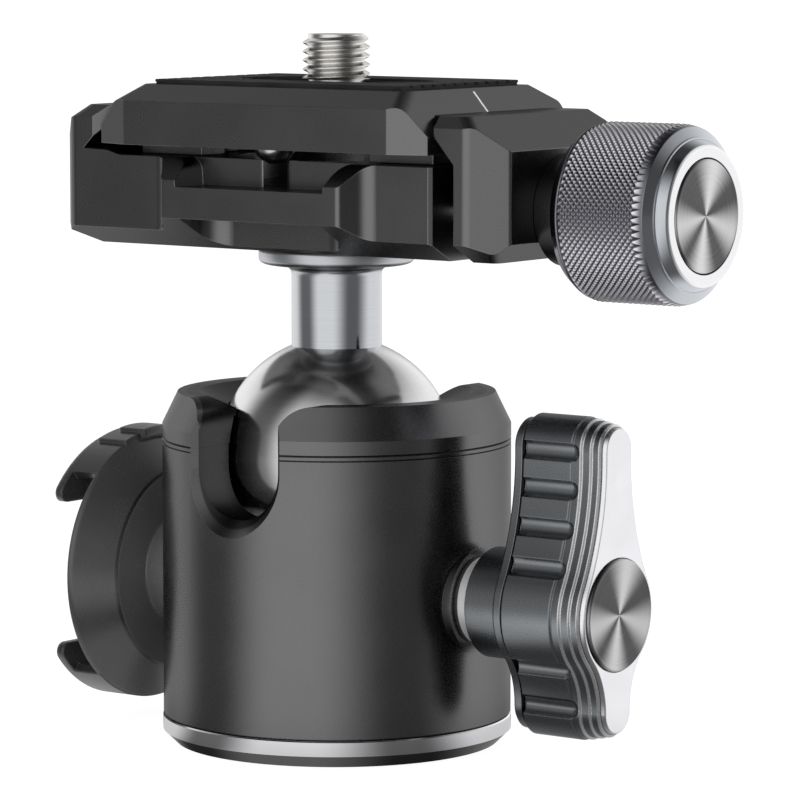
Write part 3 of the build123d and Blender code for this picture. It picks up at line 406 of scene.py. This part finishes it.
def two_tone(name, rear, front, split, roughness):
    """Satin metal that is dark behind X = split and pale in front of it."""
    made, nodes, surface = material(name, Metallic=0.6)
    along = nodes.parts(place(nodes))[0]
    fine = noise(nodes, place(nodes), 0.08 * MM, 3.0, 0.6)
    ahead = nodes.smooth(nodes.math("ADD", along, spread(nodes, fine, -0.01 * MM, 0.01 * MM)),
                         split - 0.02 * MM, split + 0.02 * MM)
    gloss = spread(nodes, fine, roughness - 0.03, roughness + 0.03)
    finish_look(nodes, surface, nodes.mix(ahead, rear, front), gloss, fine, 0.001 * MM)
    return made


def paint(name, colour):
    """Paint in an engraved mark: slightly uneven."""
    made, nodes, surface = material(name)
    fine = noise(nodes, place(nodes), 0.15 * MM, 3.0)
    base = nodes.mix(spread(nodes, fine, 0.0, 1.0), scaled(colour, 0.9), colour)
    finish_look(nodes, surface, base, spread(nodes, fine, 0.4, 0.55), fine, 0.004 * MM)
    return made


# ============================== mesh helpers ==================================
def middle(node):
    """The middle of a node's box."""
    low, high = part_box(node)
    return (low + high) / 2


def radius_of(node):
    """The radius of a node that is round about an axis along X."""
    low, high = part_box(node)
    return (high.z - low.z) / 2


def finish_mesh(name, bm, materials, sharp=32.0, weld=True):
    """Turn a bmesh into an object with smooth faces and sharp edges."""
    if weld:
        bmesh.ops.remove_doubles(bm, verts=bm.verts[:], dist=1e-7)
        bmesh.ops.dissolve_degenerate(bm, edges=bm.edges[:], dist=1e-8)
    bmesh.ops.recalc_face_normals(bm, faces=bm.faces[:])
    mesh = bpy.data.meshes.new(name)
    bm.to_mesh(mesh)
    bm.free()
    mesh.shade_smooth()
    mesh.set_sharp_from_angle(angle=radians(sharp))
    for made in materials:
        mesh.materials.append(made)
    piece = bpy.data.objects.new(name, mesh)
    bpy.context.scene.collection.objects.link(piece)
    return piece


def bend(profile, control, end, steps):
    """Carry a profile on in a smooth bend from its last point towards control and on to end."""
    start = profile[-1]
    for i in range(1, steps + 1):
        t = i / steps
        profile.append(tuple((1 - t) ** 2 * a + 2 * t * (1 - t) * b + t * t * c
                             for a, b, c in zip(start, control, end)))


def rounded(profile, radius, steps=4):
    """Round the inner corners of an open (along, radius) profile by short bends."""
    out = [profile[0]]
    for before, corner, after in zip(profile, profile[1:], profile[2:]):
        a = Vector(before) - Vector(corner)
        b = Vector(after) - Vector(corner)
        if a.angle(b) > radians(170):
            out.append(corner)
            continue
        cut = min(radius, a.length * 0.45, b.length * 0.45)
        out.append(tuple(Vector(corner) + a.normalized() * cut))
        bend(out, corner, tuple(Vector(corner) + b.normalized() * cut), steps)
    out.append(profile[-1])
    return out


def on_x(along, radius, angle, centre):
    """A point at an angle about an axis along X."""
    return Vector((along, centre.y + radius * cos(angle), centre.z + radius * sin(angle)))


def on_z(along, radius, angle, centre):
    """A point at an angle about an upright axis."""
    return Vector((centre.x + radius * cos(angle), centre.y + radius * sin(angle), along))


def lathe(bm, at, profile, centre, segments, first=None):
    """Turn an (along, radius) profile about an axis, from an existing ring if given.

    at is on_x or on_z. Where the radius is nought, a single point closes the end.
    """
    rings = [first] if first else []
    for along, radius in profile:
        count = segments if radius > 1e-9 else 1
        rings.append([bm.verts.new(at(along, radius, 2 * pi * i / count, centre)) for i in range(count)])
    for a, b in zip(rings, rings[1:]):
        for i in range(segments):
            j = (i + 1) % segments
            corners = [a[i % len(a)], a[j % len(a)], b[j % len(b)], b[i % len(b)]]
            face = list(dict.fromkeys(corners))
            if len(face) > 2:
                bm.faces.new(face)


def cut_out(piece, cutter):
    """Cut one closed mesh out of another; the cutter goes."""
    change = piece.modifiers.new("cut", "BOOLEAN")
    change.operation = "DIFFERENCE"
    change.solver = "EXACT"
    change.object = cutter
    shape = bpy.data.meshes.new_from_object(piece.evaluated_get(bpy.context.evaluated_depsgraph_get()))
    piece.modifiers.clear()
    piece.data = shape
    bpy.data.objects.remove(cutter)


# ============================== the knurled grip ==============================
KNURLS = 78               # grooves each way round the grip
KNURL_PITCH = 0.606 * MM  # along the axis
KNURL_FLAT = 0.2          # flat left on top of each pyramid, as a part of its width
KNURL_X = (1.25 * MM, 10.12 * MM)   # the band's ends, from the grip's rear
RUN_OUT = (0.3 * MM, 0.8 * MM)      # where the grooves run out, at the back and the front
BEVEL_IN = 1.1 * MM       # how far the bevel's foot and the boss are inside the knurl's crests
BOSS_IN = 1.38 * MM
STEP_BACK = 1.13 * MM     # the step between bevel and boss, from the front
RECESS_DEPTH = 0.5 * MM   # round the cap


def knurled_band(bm, x0, x1, radius, centre):
    """Diamond knurling as truncated pyramids; returns the plain rings at its two ends."""
    low = radius - KNURL_DEPTH
    start = x0 + RUN_OUT[0]
    stop = x1 - RUN_OUT[1]
    half_columns = 2 * round((stop - start) / KNURL_PITCH)
    step_x = (stop - start) / half_columns
    step_a = pi / KNURLS              # half a pitch round the grip
    verts = {}

    def vert(key, along, r, turn):
        if key not in verts:
            verts[key] = bm.verts.new(on_x(along, r, turn, centre))
        return verts[key]

    def valley(k, m):
        """Where two grooves cross, k half columns along and m half pitches round."""
        m %= 2 * KNURLS
        return vert(("v", k, m), start + k * step_x, low, m * step_a)

    def crown(k, m, dx, da):
        """One corner of the flat top of the pyramid that stands there, on the side of dx or da."""
        m %= 2 * KNURLS
        return vert(("c", k, m, dx, da), start + (k + dx * KNURL_FLAT) * step_x, radius,
                    (m + da * KNURL_FLAT) * step_a)

    for k in range(half_columns + 1):
        for m in range(k % 2, 2 * KNURLS, 2):
            up, down = valley(k, m + 1), valley(k, m - 1)
            top, bottom = crown(k, m, 0, 1), crown(k, m, 0, -1)
            flat = [top, bottom]
            if k > 0:
                left, crest = valley(k - 1, m), crown(k, m, -1, 0)
                bm.faces.new((left, up, top, crest))
                bm.faces.new((down, left, crest, bottom))
                flat.insert(1, crest)
            if k < half_columns:
                right, crest = valley(k + 1, m), crown(k, m, 1, 0)
                bm.faces.new((up, right, crest, top))
                bm.faces.new((right, down, bottom, crest))
                flat.append(crest)
            bm.faces.new(flat)

    ends = []
    for k, along in ((0, x0), (half_columns, x1)):
        for m in range(k % 2, 2 * KNURLS, 2):
            tip = vert(("t", k, (m + 1) % (2 * KNURLS)), along, low, (m + 1) * step_a)
            tip_before = vert(("t", k, (m - 1) % (2 * KNURLS)), along, low, (m - 1) * step_a)
            between = vert(("t", k, m), along, low, m * step_a)
            top, bottom = crown(k, m, 0, 1), crown(k, m, 0, -1)
            bm.faces.new((tip_before, between, tip, top, bottom))
            bm.faces.new((top, tip, valley(k, m + 1)))
            bm.faces.new((tip_before, bottom, valley(k, m - 1)))
        ends.append([verts[("t", k, m)] for m in range(2 * KNURLS)])
    return ends


def knurled_grip(materials):
    """The clamp's grip: smooth rear ring, knurled band, bevel, step, rounded boss and recess.

    Its materials are the knurls', then the boss's, then the front ring's.
    """
    low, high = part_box("clamp_grip")
    centre = middle("clamp_grip")
    radius = radius_of("clamp_grip")
    cap_r = radius_of("clamp_cap")
    bm = bmesh.new()
    knurl_x0, knurl_x1 = (low.x + x for x in KNURL_X)
    rear_ring, front_ring = knurled_band(bm, knurl_x0, knurl_x1, radius, centre)
    bevel_r = radius - BEVEL_IN
    boss_r = radius - BOSS_IN
    front = rounded([
        (knurl_x1, radius - KNURL_DEPTH), (knurl_x1 + 0.12 * MM, radius - 0.26 * MM),
        (high.x - STEP_BACK, bevel_r), (high.x - 1.0 * MM, bevel_r - 0.1 * MM),
        (high.x - 1.02 * MM, boss_r + 0.05 * MM), (high.x - 0.86 * MM, boss_r),
        (high.x - 0.14 * MM, boss_r - 0.36 * MM), (high.x, boss_r - 0.62 * MM), (high.x, cap_r + 0.1 * MM),
        (high.x - 0.05 * MM, cap_r + 0.05 * MM), (high.x - RECESS_DEPTH, cap_r + 0.05 * MM),
    ], 0.1 * MM)[1:]
    lathe(bm, on_x, front, centre, 2 * KNURLS, front_ring)
    for face in bm.faces:
        mid = face.calc_center_median()
        if mid.x > high.x - 0.2 * MM and (mid - centre).yz.length < boss_r - 0.4 * MM:
            face.material_index = 2
        elif mid.x > knurl_x1 + 0.1 * MM:
            face.material_index = 1
    rear = rounded([
        (knurl_x0, radius - KNURL_DEPTH), (knurl_x0 - 0.15 * MM, radius - 0.14 * MM),
        (low.x + 0.25 * MM, radius - 0.75 * MM), (low.x, radius - 0.95 * MM), (low.x, 0),
    ], 0.12 * MM)[1:]
    lathe(bm, on_x, rear, centre, 2 * KNURLS, rear_ring)
    return finish_mesh("knurled_grip", bm, materials, sharp=24.0)


# ============================== spun caps =====================================
CAP_GAP = 0.06 * MM       # the shadow line round each cap
CAP_RINGS = 18            # across the dished face
CAP_DISH = 0.15 * MM      # how deep its middle is
CAP_ROLL = 0.3 * MM       # the rolled edge's width
CAP_SEGMENTS = 144        # round each cap


def spun_cap(name, node, materials):
    """A cap's dished face with its rolled edge."""
    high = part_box(node)[1]
    radius = radius_of(node) - CAP_GAP
    profile = []
    for i in range(CAP_RINGS + 1):
        part = i / CAP_RINGS
        profile.append((high.x - 0.02 * MM - CAP_DISH * (1 - part), (radius - CAP_ROLL) * part))
    profile += rounded([profile[-1], (high.x, radius - 0.22 * MM), (high.x - 0.02 * MM, radius - 0.12 * MM),
                        (high.x - 0.14 * MM, radius), (high.x - 0.5 * MM, radius)], 0.06 * MM)[1:]
    bm = bmesh.new()
    lathe(bm, on_x, profile, middle(node), CAP_SEGMENTS)
    return finish_mesh(name, bm, materials, sharp=40.0)


# ============================== camera screw ==================================
SCREW_CREST = 3.175 * MM  # the radii of the thread's crests and roots, and of the neck below it
SCREW_ROOT = 2.66 * MM
SCREW_NECK = 2.6 * MM
SCREW_PITCH = 0.83 * MM
SCREW_CHAMFER = 0.55 * MM  # at the thread's end
SCREW_THREAD = 4.2 * MM   # from the thread's foot to the screw's end
SCREW_HEAD = 1.7 * MM     # the head's height
SCREW_SEGMENTS = 64       # round the screw
DRIVER_SLOT = (1.2 * MM, 0.9 * MM)   # its width and depth
# One turn of the thread's outline: how far along the pitch, and the radius.
THREAD_FORM = ((0.0, SCREW_ROOT), (0.08, SCREW_ROOT), (0.43, SCREW_CREST), (0.57, SCREW_CREST),
               (0.92, SCREW_ROOT))


def thread_surface(bm, centre, z_low, z_high):
    """The skin of a helical thread with a chamfered end, closed at its top."""
    turns = int((z_high - z_low) / SCREW_PITCH) + 3
    columns = []
    for i in range(SCREW_SEGMENTS + 1):
        column = []
        for turn in range(-1, turns):
            for part, r in THREAD_FORM:
                z = z_low + SCREW_PITCH * (turn + part - 1 + i / SCREW_SEGMENTS)
                z = min(max(z, z_low), z_high)
                r = min(r, SCREW_CREST - SCREW_CHAMFER + (z_high - z))
                column.append(bm.verts.new(on_z(z, r, 2 * pi * i / SCREW_SEGMENTS, centre)))
        columns.append(column)
    for a, b in zip(columns, columns[1:]):
        for k in range(len(a) - 1):
            bm.faces.new((a[k], b[k], b[k + 1], a[k + 1]))
    bm.faces.new([column[-1] for column in columns[:-1]])


def slotted_head(low, high, centre, top_z):
    """The screw's round head and neck, with a driver's slot across its underside."""
    bm = bmesh.new()
    radius = (high.x - low.x) / 2
    lathe(bm, on_z, rounded([
        (top_z, 0.0), (top_z, SCREW_NECK), (low.z + SCREW_HEAD, SCREW_NECK), (low.z + SCREW_HEAD, radius),
        (low.z, radius), (low.z, 0.0),
    ], 0.12 * MM), centre, SCREW_SEGMENTS)
    head = finish_mesh("screw_head", bm, [])
    bm = bmesh.new()
    bmesh.ops.create_cube(bm, size=1.0)
    width, depth = DRIVER_SLOT
    foot = Vector((centre.x, centre.y, low.z))
    for vert in bm.verts:
        vert.co = foot + Vector((vert.co.x * 3 * radius, vert.co.y * width, vert.co.z * 2 * depth))
    cut_out(head, finish_mesh("driver_slot", bm, []))
    return head


def threaded_camera_screw(materials):
    """The camera screw: slotted head, neck in the plate's slot, cut thread with a chamfered end."""
    low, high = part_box("camera_screw")
    centre = middle("camera_screw")
    thread_z = high.z - SCREW_THREAD
    bm = bmesh.new()
    thread_surface(bm, centre, thread_z, high.z)
    head = slotted_head(low, high, centre, thread_z + 0.2 * MM)
    bm.from_mesh(head.data)
    bpy.data.objects.remove(head)
    return finish_mesh("threaded_camera_screw", bm, materials, sharp=28.0)


# ============================== rubber pad ====================================
RIBS = 11                 # across the sheet
RIB_WIDTH = 1.16 * MM
RIB_DRAW = 0.05 * MM      # how far a rib's sides draw in at its top
SHEET_Z = 0.2 * MM        # the sheet's thickness under its ribs
SHEET_POINTS = 160        # round its outline
SLOT_HALF = 10.3 * MM     # the slot's half length and end radius
SLOT_R = 3.7 * MM
SLOT_MARGIN = 0.25 * MM   # between the slot and the ribs
FAR = 9.0                 # further than anything here reaches


def slot_reach(y):
    """Half length of the plate's slot at a distance from its middle line."""
    if abs(y) >= SLOT_R:
        return 0.0
    return SLOT_HALF - SLOT_R + sqrt(SLOT_R ** 2 - y * y)


def edge_reach(away, high):
    """How far the sheet's outer edge is from its middle in a direction."""
    return min(high.x / abs(away.x) if away.x else FAR, high.y / abs(away.y) if away.y else FAR)


def hole_reach(away):
    """How far the slot's edge is from its middle in a direction."""
    straight = SLOT_HALF - SLOT_R
    reach = SLOT_R / abs(away.y) if abs(away.y) > 1e-6 else FAR
    if abs(away.x) * reach <= straight:
        return reach
    along = straight * abs(away.x)
    return along + sqrt(max(0.0, along ** 2 - straight ** 2 + SLOT_R ** 2))


def slotted_sheet(bm, low, high):
    """A flat sheet with a slot through it."""
    loops = []
    for z in (low.z, low.z + SHEET_Z):
        outer, inner = [], []
        for i in range(SHEET_POINTS):
            angle = 2 * pi * (i + 0.5) / SHEET_POINTS
            away = Vector((cos(angle), sin(angle)))
            outer.append(bm.verts.new((*(away * edge_reach(away, high)), z)))
            inner.append(bm.verts.new((*(away * hole_reach(away)), z)))
        loops.append((outer, inner))
    (outer0, inner0), (outer1, inner1) = loops
    for i in range(SHEET_POINTS):
        j = (i + 1) % SHEET_POINTS
        bm.faces.new((outer0[i], outer0[j], outer1[j], outer1[i]))
        bm.faces.new((inner0[i], inner0[j], inner1[j], inner1[i]))
        bm.faces.new((outer1[i], outer1[j], inner1[j], inner1[i]))
        bm.faces.new((outer0[i], outer0[j], inner0[j], inner0[i]))


def block(bm, outline, z0, z1):
    """A raised block with sides that draw in towards its top."""
    mid = Vector((sum(p[0] for p in outline) / len(outline), sum(p[1] for p in outline) / len(outline)))
    rings = []
    for z, inset in ((z0, 0.0), (z1 - RIB_DRAW, 0.0), (z1, RIB_DRAW)):
        rings.append([bm.verts.new((x - inset * (1 if x > mid.x else -1),
                                    y - inset * (1 if y > mid.y else -1), z)) for x, y in outline])
    for a, b in zip(rings, rings[1:]):
        for i in range(len(a)):
            j = (i + 1) % len(a)
            bm.faces.new((a[i], a[j], b[j], b[i]))
    bm.faces.new(rings[-1])
    bm.faces.new(rings[0])


def rib_outlines(low, high):
    """Each rib across the sheet, in two halves where the slot parts it."""
    pitch = (high.y - low.y) / RIBS
    for rib in range(RIBS):
        y0 = low.y + pitch * (rib + 0.5) - RIB_WIDTH / 2
        y1 = y0 + RIB_WIDTH
        if rib == 0:
            y0 = low.y
        if rib == RIBS - 1:
            y1 = high.y
        reach0, reach1 = slot_reach(y0), slot_reach(y1)
        if not (reach0 or reach1 or y0 * y1 < 0):
            yield [(low.x, y0), (high.x, y0), (high.x, y1), (low.x, y1)]
            continue
        near0, near1 = (max(reach, SLOT_HALF - SLOT_R) + SLOT_MARGIN for reach in (reach0, reach1))
        for side in (-1, 1):
            outline = [(side * near0, y0), (side * high.x, y0), (side * high.x, y1), (side * near1, y1)]
            if side < 0:
                outline.reverse()
            yield outline


def ribbed_pad(materials):
    """The rubber sheet on the plate: a thin base with ribs across it, split by the slot."""
    low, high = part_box("rubber_pad")
    bm = bmesh.new()
    slotted_sheet(bm, low, high)
    for outline in rib_outlines(low, high):
        block(bm, outline, low.z + SHEET_Z, high.z)
    return finish_mesh("ribbed_pad", bm, materials, sharp=30.0, weld=False)


# ============================== index line ====================================
SLOPE_X = 15.5 * MM       # where the plate's top ends and slopes down over the moving jaw
SLOPE_Z = 58.16 * MM      # where the slope reaches the plate's side
LINE_SPAN = (0.08, 0.93)  # the part of the slope that the line runs over
LINE_HALF = 0.13 * MM     # half its width
LINE_DRAW = 0.9           # its top's width against its foot's
LINE_THICK = 0.02 * MM    # how far it stands above the slope, and how far it reaches below


def index_line(materials):
    """A painted line down the plate's slope, over the moving jaw."""
    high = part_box("quick_plate")[1]
    edge, lip = Vector((SLOPE_X, 0, high.z)), Vector((high.x, 0, SLOPE_Z))
    top, foot = (edge.lerp(lip, part) for part in LINE_SPAN)
    along = (foot - top).normalized()
    out = Vector((-along.z, 0, along.x)) * LINE_THICK
    bm = bmesh.new()
    corners = []
    for point in (top, foot):
        for y in (-LINE_HALF, LINE_HALF):
            corners.append((bm.verts.new(point + Vector((0, y, 0)) - out),
                            bm.verts.new(point + Vector((0, y * LINE_DRAW, 0)) + out)))
    (a0, a1), (b0, b1), (c0, c1), (d0, d1) = corners
    for face in ((a1, b1, d1, c1), (a0, c0, d0, b0), (a0, b0, b1, a1), (c0, c1, d1, d0), (a0, a1, c1, c0),
                 (b0, d0, d1, b1)):
        bm.faces.new(face)
    return finish_mesh("index_line", bm, materials, weld=False)


# ============================== stem ==========================================
SPIGOT_R = 2.5 * MM       # the spigot inside the ball
SHAFT_R = 4.25 * MM
SHAFT_Z = 36.8 * MM       # the shaft's foot
SWEEP_Z = 44.2 * MM       # where it starts to sweep outwards
FLANGE_Z = 45.22 * MM     # the flange's underside, near its rim
STEM_SEGMENTS = 160       # round the stem


def turned_stem(materials):
    """The stem, which sweeps out into its round flange."""
    low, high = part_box("stem")
    rim, top = high.x, high.z
    profile = [(low.z, 0), (low.z, SPIGOT_R), (SHAFT_Z, SPIGOT_R), (SHAFT_Z, SHAFT_R - 0.1 * MM)]
    bend(profile, (SHAFT_Z, SHAFT_R), (SHAFT_Z + 0.1 * MM, SHAFT_R), 3)
    profile.append((SWEEP_Z, SHAFT_R))
    bend(profile, (SWEEP_Z + 0.75 * MM, SHAFT_R), (SWEEP_Z + 0.85 * MM, SHAFT_R + 0.85 * MM), 12)
    profile.append((FLANGE_Z, rim - 0.85 * MM))
    bend(profile, (FLANGE_Z + 0.1 * MM, rim - 0.1 * MM), (FLANGE_Z + 0.53 * MM, rim), 10)
    profile.append((top - 0.36 * MM, rim))
    bend(profile, (top - 0.04 * MM, rim), (top, rim - 0.45 * MM), 6)
    profile.append((top, 0))
    bm = bmesh.new()
    lathe(bm, on_z, profile, Vector(ORIGIN), STEM_SEGMENTS)
    return finish_mesh("turned_stem", bm, materials, sharp=50.0)


# ============================== dressing ======================================
BORE_R = 15.75 * MM           # within this radius the housing is painted darker as shade
# Under the flange, what faces down is painted dark as shade.
STEM_SATIN = (43.8 * MM, 44.9 * MM, 0.3)  # where its mirror finish turns to satin, and how much rougher
WING_BRIGHT_X = 29.3 * MM     # from here on the wing's step edges are painted bright as a highlight; the rearmost stays dark
WING_GROOVE_X = 23.8 * MM     # behind here its walls line a narrow groove, and are painted dark as shade
WASHER_SPLIT_X = 16.95 * MM   # the washer is dark behind here
# The holder's tones, painted as light and shade: its outside, the ring round its back plate, and the plate.
HOLDER_PAINTED_STEPS = ((-22.5 * MM, 1.6), (-19.25 * MM, 0.4), (-19.03 * MM, 4.4))


def dress(made, *names):
    """Give CAD nodes their material."""
    for name in names:
        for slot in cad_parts[name].material_slots:
            slot.material = made


def stand_for(piece, node, body):
    """Hide a CAD node and put the piece that stands in its place on a body."""
    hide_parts(node)
    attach(piece, body)


def dress_housing():
    """Barrel, collar, base, lock washer, the holder's dish and the plastic round the ball."""
    # Barrel and collar: a faint painted highlight on their edges, and painted shade within the bore.
    body = anodised("satin_black", grey(0.178, 0.004), 0.27, edge=0.5, highlight_width=EDGE_WIDTH * 0.4, highlight_tone=1.2,
                    inner=BORE_R)
    dress(body, "barrel", "collar")
    dress(anodised("base_black", grey(0.15, 0.003), 0.25), "base_plate")
    dress(turned_metal("ring_silver", grey(0.86, 0.02), 0.14), "base_ring")
    dress(two_tone("washer_silver", grey(0.1), grey(0.95), WASHER_SPLIT_X, 0.4), "lock_washer")
    dress(moulded_plastic("holder_black", grey(0.034, 0.0005), 0.24, round_over=0.4 * MM,
                          steps=HOLDER_PAINTED_STEPS), "remote_holder")
    dress(moulded_plastic("seat_plastic", (0.72, 0.7, 0.64, 1), 0.35), "lower_seat", "ball_liner")
    dress(turned_metal("thread_brass", (0.72, 0.58, 0.32, 1), 0.25), "thread_bushing")


def dress_ball():
    """The polished ball, and its stem whose mirror finish turns to satin under the flange, with painted shade
    there.
    """
    ball = turned_metal("ball_black", grey(0.8, 0.012), 0.17, line=0.1 * MM, relief=0.0001 * MM, cloud=0.02)
    dress(ball, "ball")
    chrome = turned_metal("stem_chrome", (0.6, 0.615, 0.64, 1), 0.06, line=0.08 * MM, relief=0.0002 * MM,
                          satin=STEM_SATIN)
    stand_for(turned_stem([chrome]), "stem", "ball")


def dress_wing():
    """The lock knob: black steps with painted highlights on their edges, and a silver face."""
    dress(edged_metal("knob_black", (0.3, 0.315, 0.33, 1), bright=grey(1.0), roughness=0.27, low=0.24,
                      high=0.88, start=WING_BRIGHT_X, groove=WING_GROOVE_X), "lock_grip")
    dress(edged_metal("knob_edge", grey(0.93, 0.03), bright=grey(0.9, 0.02), roughness=0.22, low=0.3,
                      high=0.88), "lock_face")


def dress_clamp():
    """The clamp, its jaw, the plate's body and the knurled knob."""
    clamp = middle("clamp_cap")
    # The clamp, jaw and plate get painted highlights along their edges.
    dress(anodised("clamp_black", grey(0.18), 0.27, grain=0.06 * MM, relief=0.001 * MM, edge=0.4,
                   cloud=0.03, highlight_width=EDGE_WIDTH * 1.2), "clamp_base", "moving_jaw", "quick_plate")
    dress(anodised("neck_black", grey(0.09), 0.3), "clamp_neck", "stud_sleeve")
    grip = knurled_grip([
        turned_metal("knurl_grey", KNURL_CREST_TONE, 0.2, AXIS_X, clamp, crest=radius_of("clamp_grip")),
        # The boss is a darker, bluer copy of the grip's silver: painted shade.
        turned_metal("boss_silver", (0.56, 0.585, 0.62, 1), 0.17, AXIS_X, clamp),
        turned_metal("front_silver", grey(0.92, 0.02), 0.2, AXIS_X, clamp),
    ])
    stand_for(grip, "clamp_grip", "clamp_knob")


def dress_caps():
    """The spun discs in both knobs."""
    for name, node, body, tone in (("lock_spun_cap", "lock_cap", "lock_knob", 0.62),
                                   ("clamp_spun_cap", "clamp_cap", "clamp_knob", 0.72)):
        cap = spun_cap(name, node, [spun_metal(name, grey(tone, 0.004), middle(node))])
        stand_for(cap, node, body)


def dress_plate():
    """What the plate carries: camera screw, rubber sheet and index line."""
    steel = turned_metal("thread_steel", (0.8, 0.79, 0.77, 1), 0.22)
    stand_for(threaded_camera_screw([steel]), "camera_screw", "camera_screw")
    stand_for(ribbed_pad([rubber("pad_rubber", grey(0.014))]), "rubber_pad", "plate")
    line = index_line([paint("mark_white", grey(0.85))])
    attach(line, "plate")


def dress_fasteners():
    """Screws, studs, pins, clip and spring."""
    dress(turned_metal("screw_steel", (0.62, 0.61, 0.6, 1), 0.2),
          "base_screws", "disc_spring", "holder_screws", "stem_screw", "guide_pins", "clamp_stud",
          "stop_screws", "screw_clip", "lock_stud", "lock_screw", "plunger")


# ============================== studio ========================================
def walls(nodes, azimuth):
    """The walls' brightness all round: white, with grey flags."""
    level = 1.0
    for centre, half, soft, depth in FLAGS:
        away = away_from(nodes, azimuth, centre)
        kept = nodes.smooth(away, radians(half - soft), radians(half + soft), 1 - depth, 1.0)
        level = nodes.math("MULTIPLY", level, kept)
    return level


def ray_kinds(nodes):
    """Two switches: for what the camera sees itself, and for what it sees in metal or through glass."""
    path = nodes.add("ShaderNodeLightPath").outputs
    in_metal = nodes.math("ADD", path["Is Glossy Ray"], path["Is Transmission Ray"])
    return path["Is Camera Ray"], nodes.math("MINIMUM", 1.0, in_metal)


def floor_material():
    """White to the camera and pale to light; to metal it carries the walls on, with a painted shadow near the
    base.
    """
    made = bpy.data.materials.new("floor_white")
    made.use_nodes = True
    nodes = Nodes(made.node_tree)
    matt = nodes.add("ShaderNodeBsdfDiffuse", {"Color": grey(FLOOR_TONE)})
    camera, in_metal = ray_kinds(nodes)
    x, y, _ = nodes.parts(place(nodes))
    reach = nodes.math("SQRT", nodes.math("ADD", nodes.math("MULTIPLY", x, x), nodes.math("MULTIPLY", y, y)))
    near, far, depth = FLOOR_PAINTED_SHADOW
    turn = nodes.math("WRAP", nodes.math("SUBTRACT", nodes.math("ARCTAN2", y, x), radians(FACING)), pi, -pi)
    outwards = nodes.math("DIVIDE", BASE_REACH, nodes.math("MAXIMUM", reach, BASE_REACH))
    widened = nodes.math("MULTIPLY", turn, nodes.math("ADD", 1.0, outwards))
    azimuth = nodes.math("ADD", widened, radians(FACING))
    # Near the base the floor is darker to metal: a painted shadow.
    carried = nodes.math("MULTIPLY", walls(nodes, azimuth), nodes.smooth(reach, near, far, 1 - depth, 1.0))
    strength = nodes.math("ADD", nodes.math("MULTIPLY", camera, FLOOR_WHITE),
                          nodes.math("MULTIPLY", in_metal, carried))
    white = nodes.add("ShaderNodeEmission", {"Color": grey(1.0), "Strength": strength})
    share = nodes.math("ADD", nodes.math("MULTIPLY", camera, FLOOR_SHARE),
                       nodes.math("MULTIPLY", in_metal, FLOOR_METAL_SHARE))
    both = nodes.fill(nodes.add("ShaderNodeMixShader"), (share, matt.outputs[0], white.outputs[0]))
    nodes.add("ShaderNodeOutputMaterial", {"Surface": both.outputs[0]})
    return made


def add_floor():
    """A wide pale floor that reads as white and keeps the object's shadow."""
    bm = bmesh.new()
    bmesh.ops.create_grid(bm, x_segments=8, y_segments=8, size=FLOOR_HALF)
    mesh = bpy.data.meshes.new("floor")
    bm.to_mesh(mesh)
    bm.free()
    mesh.materials.append(floor_material())
    floor = bpy.data.objects.new("floor", mesh)
    floor.location.z = CAD_BOX[0][2] - FLOOR_SINK
    bpy.context.scene.collection.objects.link(floor)


def add_world():
    """White walls with grey flags between the soft boxes, and a dim ceiling."""
    world = bpy.data.worlds.new("studio")
    world.use_nodes = True
    bpy.context.scene.world = world
    nodes = Nodes(world.node_tree)
    toward = nodes.add("ShaderNodeTexCoord").outputs["Generated"]
    x, y, z = nodes.parts(toward)
    azimuth = nodes.math("ARCTAN2", y, x)
    front, full, gone = FRONT_BOX
    aside = away_from(nodes, azimuth, front)
    lift = nodes.smooth(aside, radians(full), radians(gone), radians(FRONT_LIFT), 0.0)
    elevation = nodes.math("SUBTRACT", nodes.math("ARCSINE", z), lift)
    fade_from, fade_to, fade = CEILING
    wall = nodes.math("MULTIPLY", walls(nodes, azimuth),
                      nodes.smooth(elevation, radians(fade_from), radians(fade_to), 1.0, 1 - fade))
    camera, in_metal = ray_kinds(nodes)
    seen = nodes.math("MINIMUM", 1.0, nodes.math("ADD", camera, in_metal))
    matt_light = nodes.math("MULTIPLY", nodes.math("SUBTRACT", 1.0, seen), AMBIENT)
    level = nodes.math("ADD", nodes.math("MULTIPLY", in_metal, wall), matt_light)
    level = nodes.math("ADD", camera, level)
    background = nodes.add("ShaderNodeBackground", {"Color": grey(1.0), "Strength": level})
    nodes.add("ShaderNodeOutputWorld", {"Surface": background.outputs[0]})


def add_lamp(name, azimuth, elevation, distance, size, power):
    """A square soft box that faces the object; metal sees the walls instead of it."""
    data = bpy.data.lights.new(name, "AREA")
    data.shape = "SQUARE"
    data.size = size
    data.energy = power
    lamp = bpy.data.objects.new(name, data)
    lamp.visible_glossy = False
    turn, rise = radians(azimuth), radians(elevation)
    away = Vector((cos(turn) * cos(rise), sin(turn) * cos(rise), sin(rise)))
    lamp.location = LAMP_AIM + distance * away
    lamp.rotation_euler = (LAMP_AIM - lamp.location).to_track_quat("-Z", "Y").to_euler()
    bpy.context.scene.collection.objects.link(lamp)


def add_camera():
    """A camera that stands where the photograph was taken from, as fitted to it."""
    data = bpy.data.cameras.new("camera")
    data.sensor_width = 36
    data.lens = CAMERA_LENS
    data.clip_end = 50
    camera = bpy.data.objects.new("camera", data)
    camera.location = CAMERA_AT
    camera.rotation_euler = (radians(90 - CAMERA_PITCH), 0, radians(CAMERA_TURN))
    bpy.context.scene.collection.objects.link(camera)
    bpy.context.scene.camera = camera


add_camera()
dress_housing()
dress_ball()
dress_wing()
dress_clamp()
dress_caps()
dress_plate()
dress_fasteners()
add_floor()
add_world()
add_lamp("front_box", azimuth=FACING - 40, elevation=62, distance=0.9, size=0.35, power=0.3)
bpy.context.scene.view_settings.view_transform = "Standard"
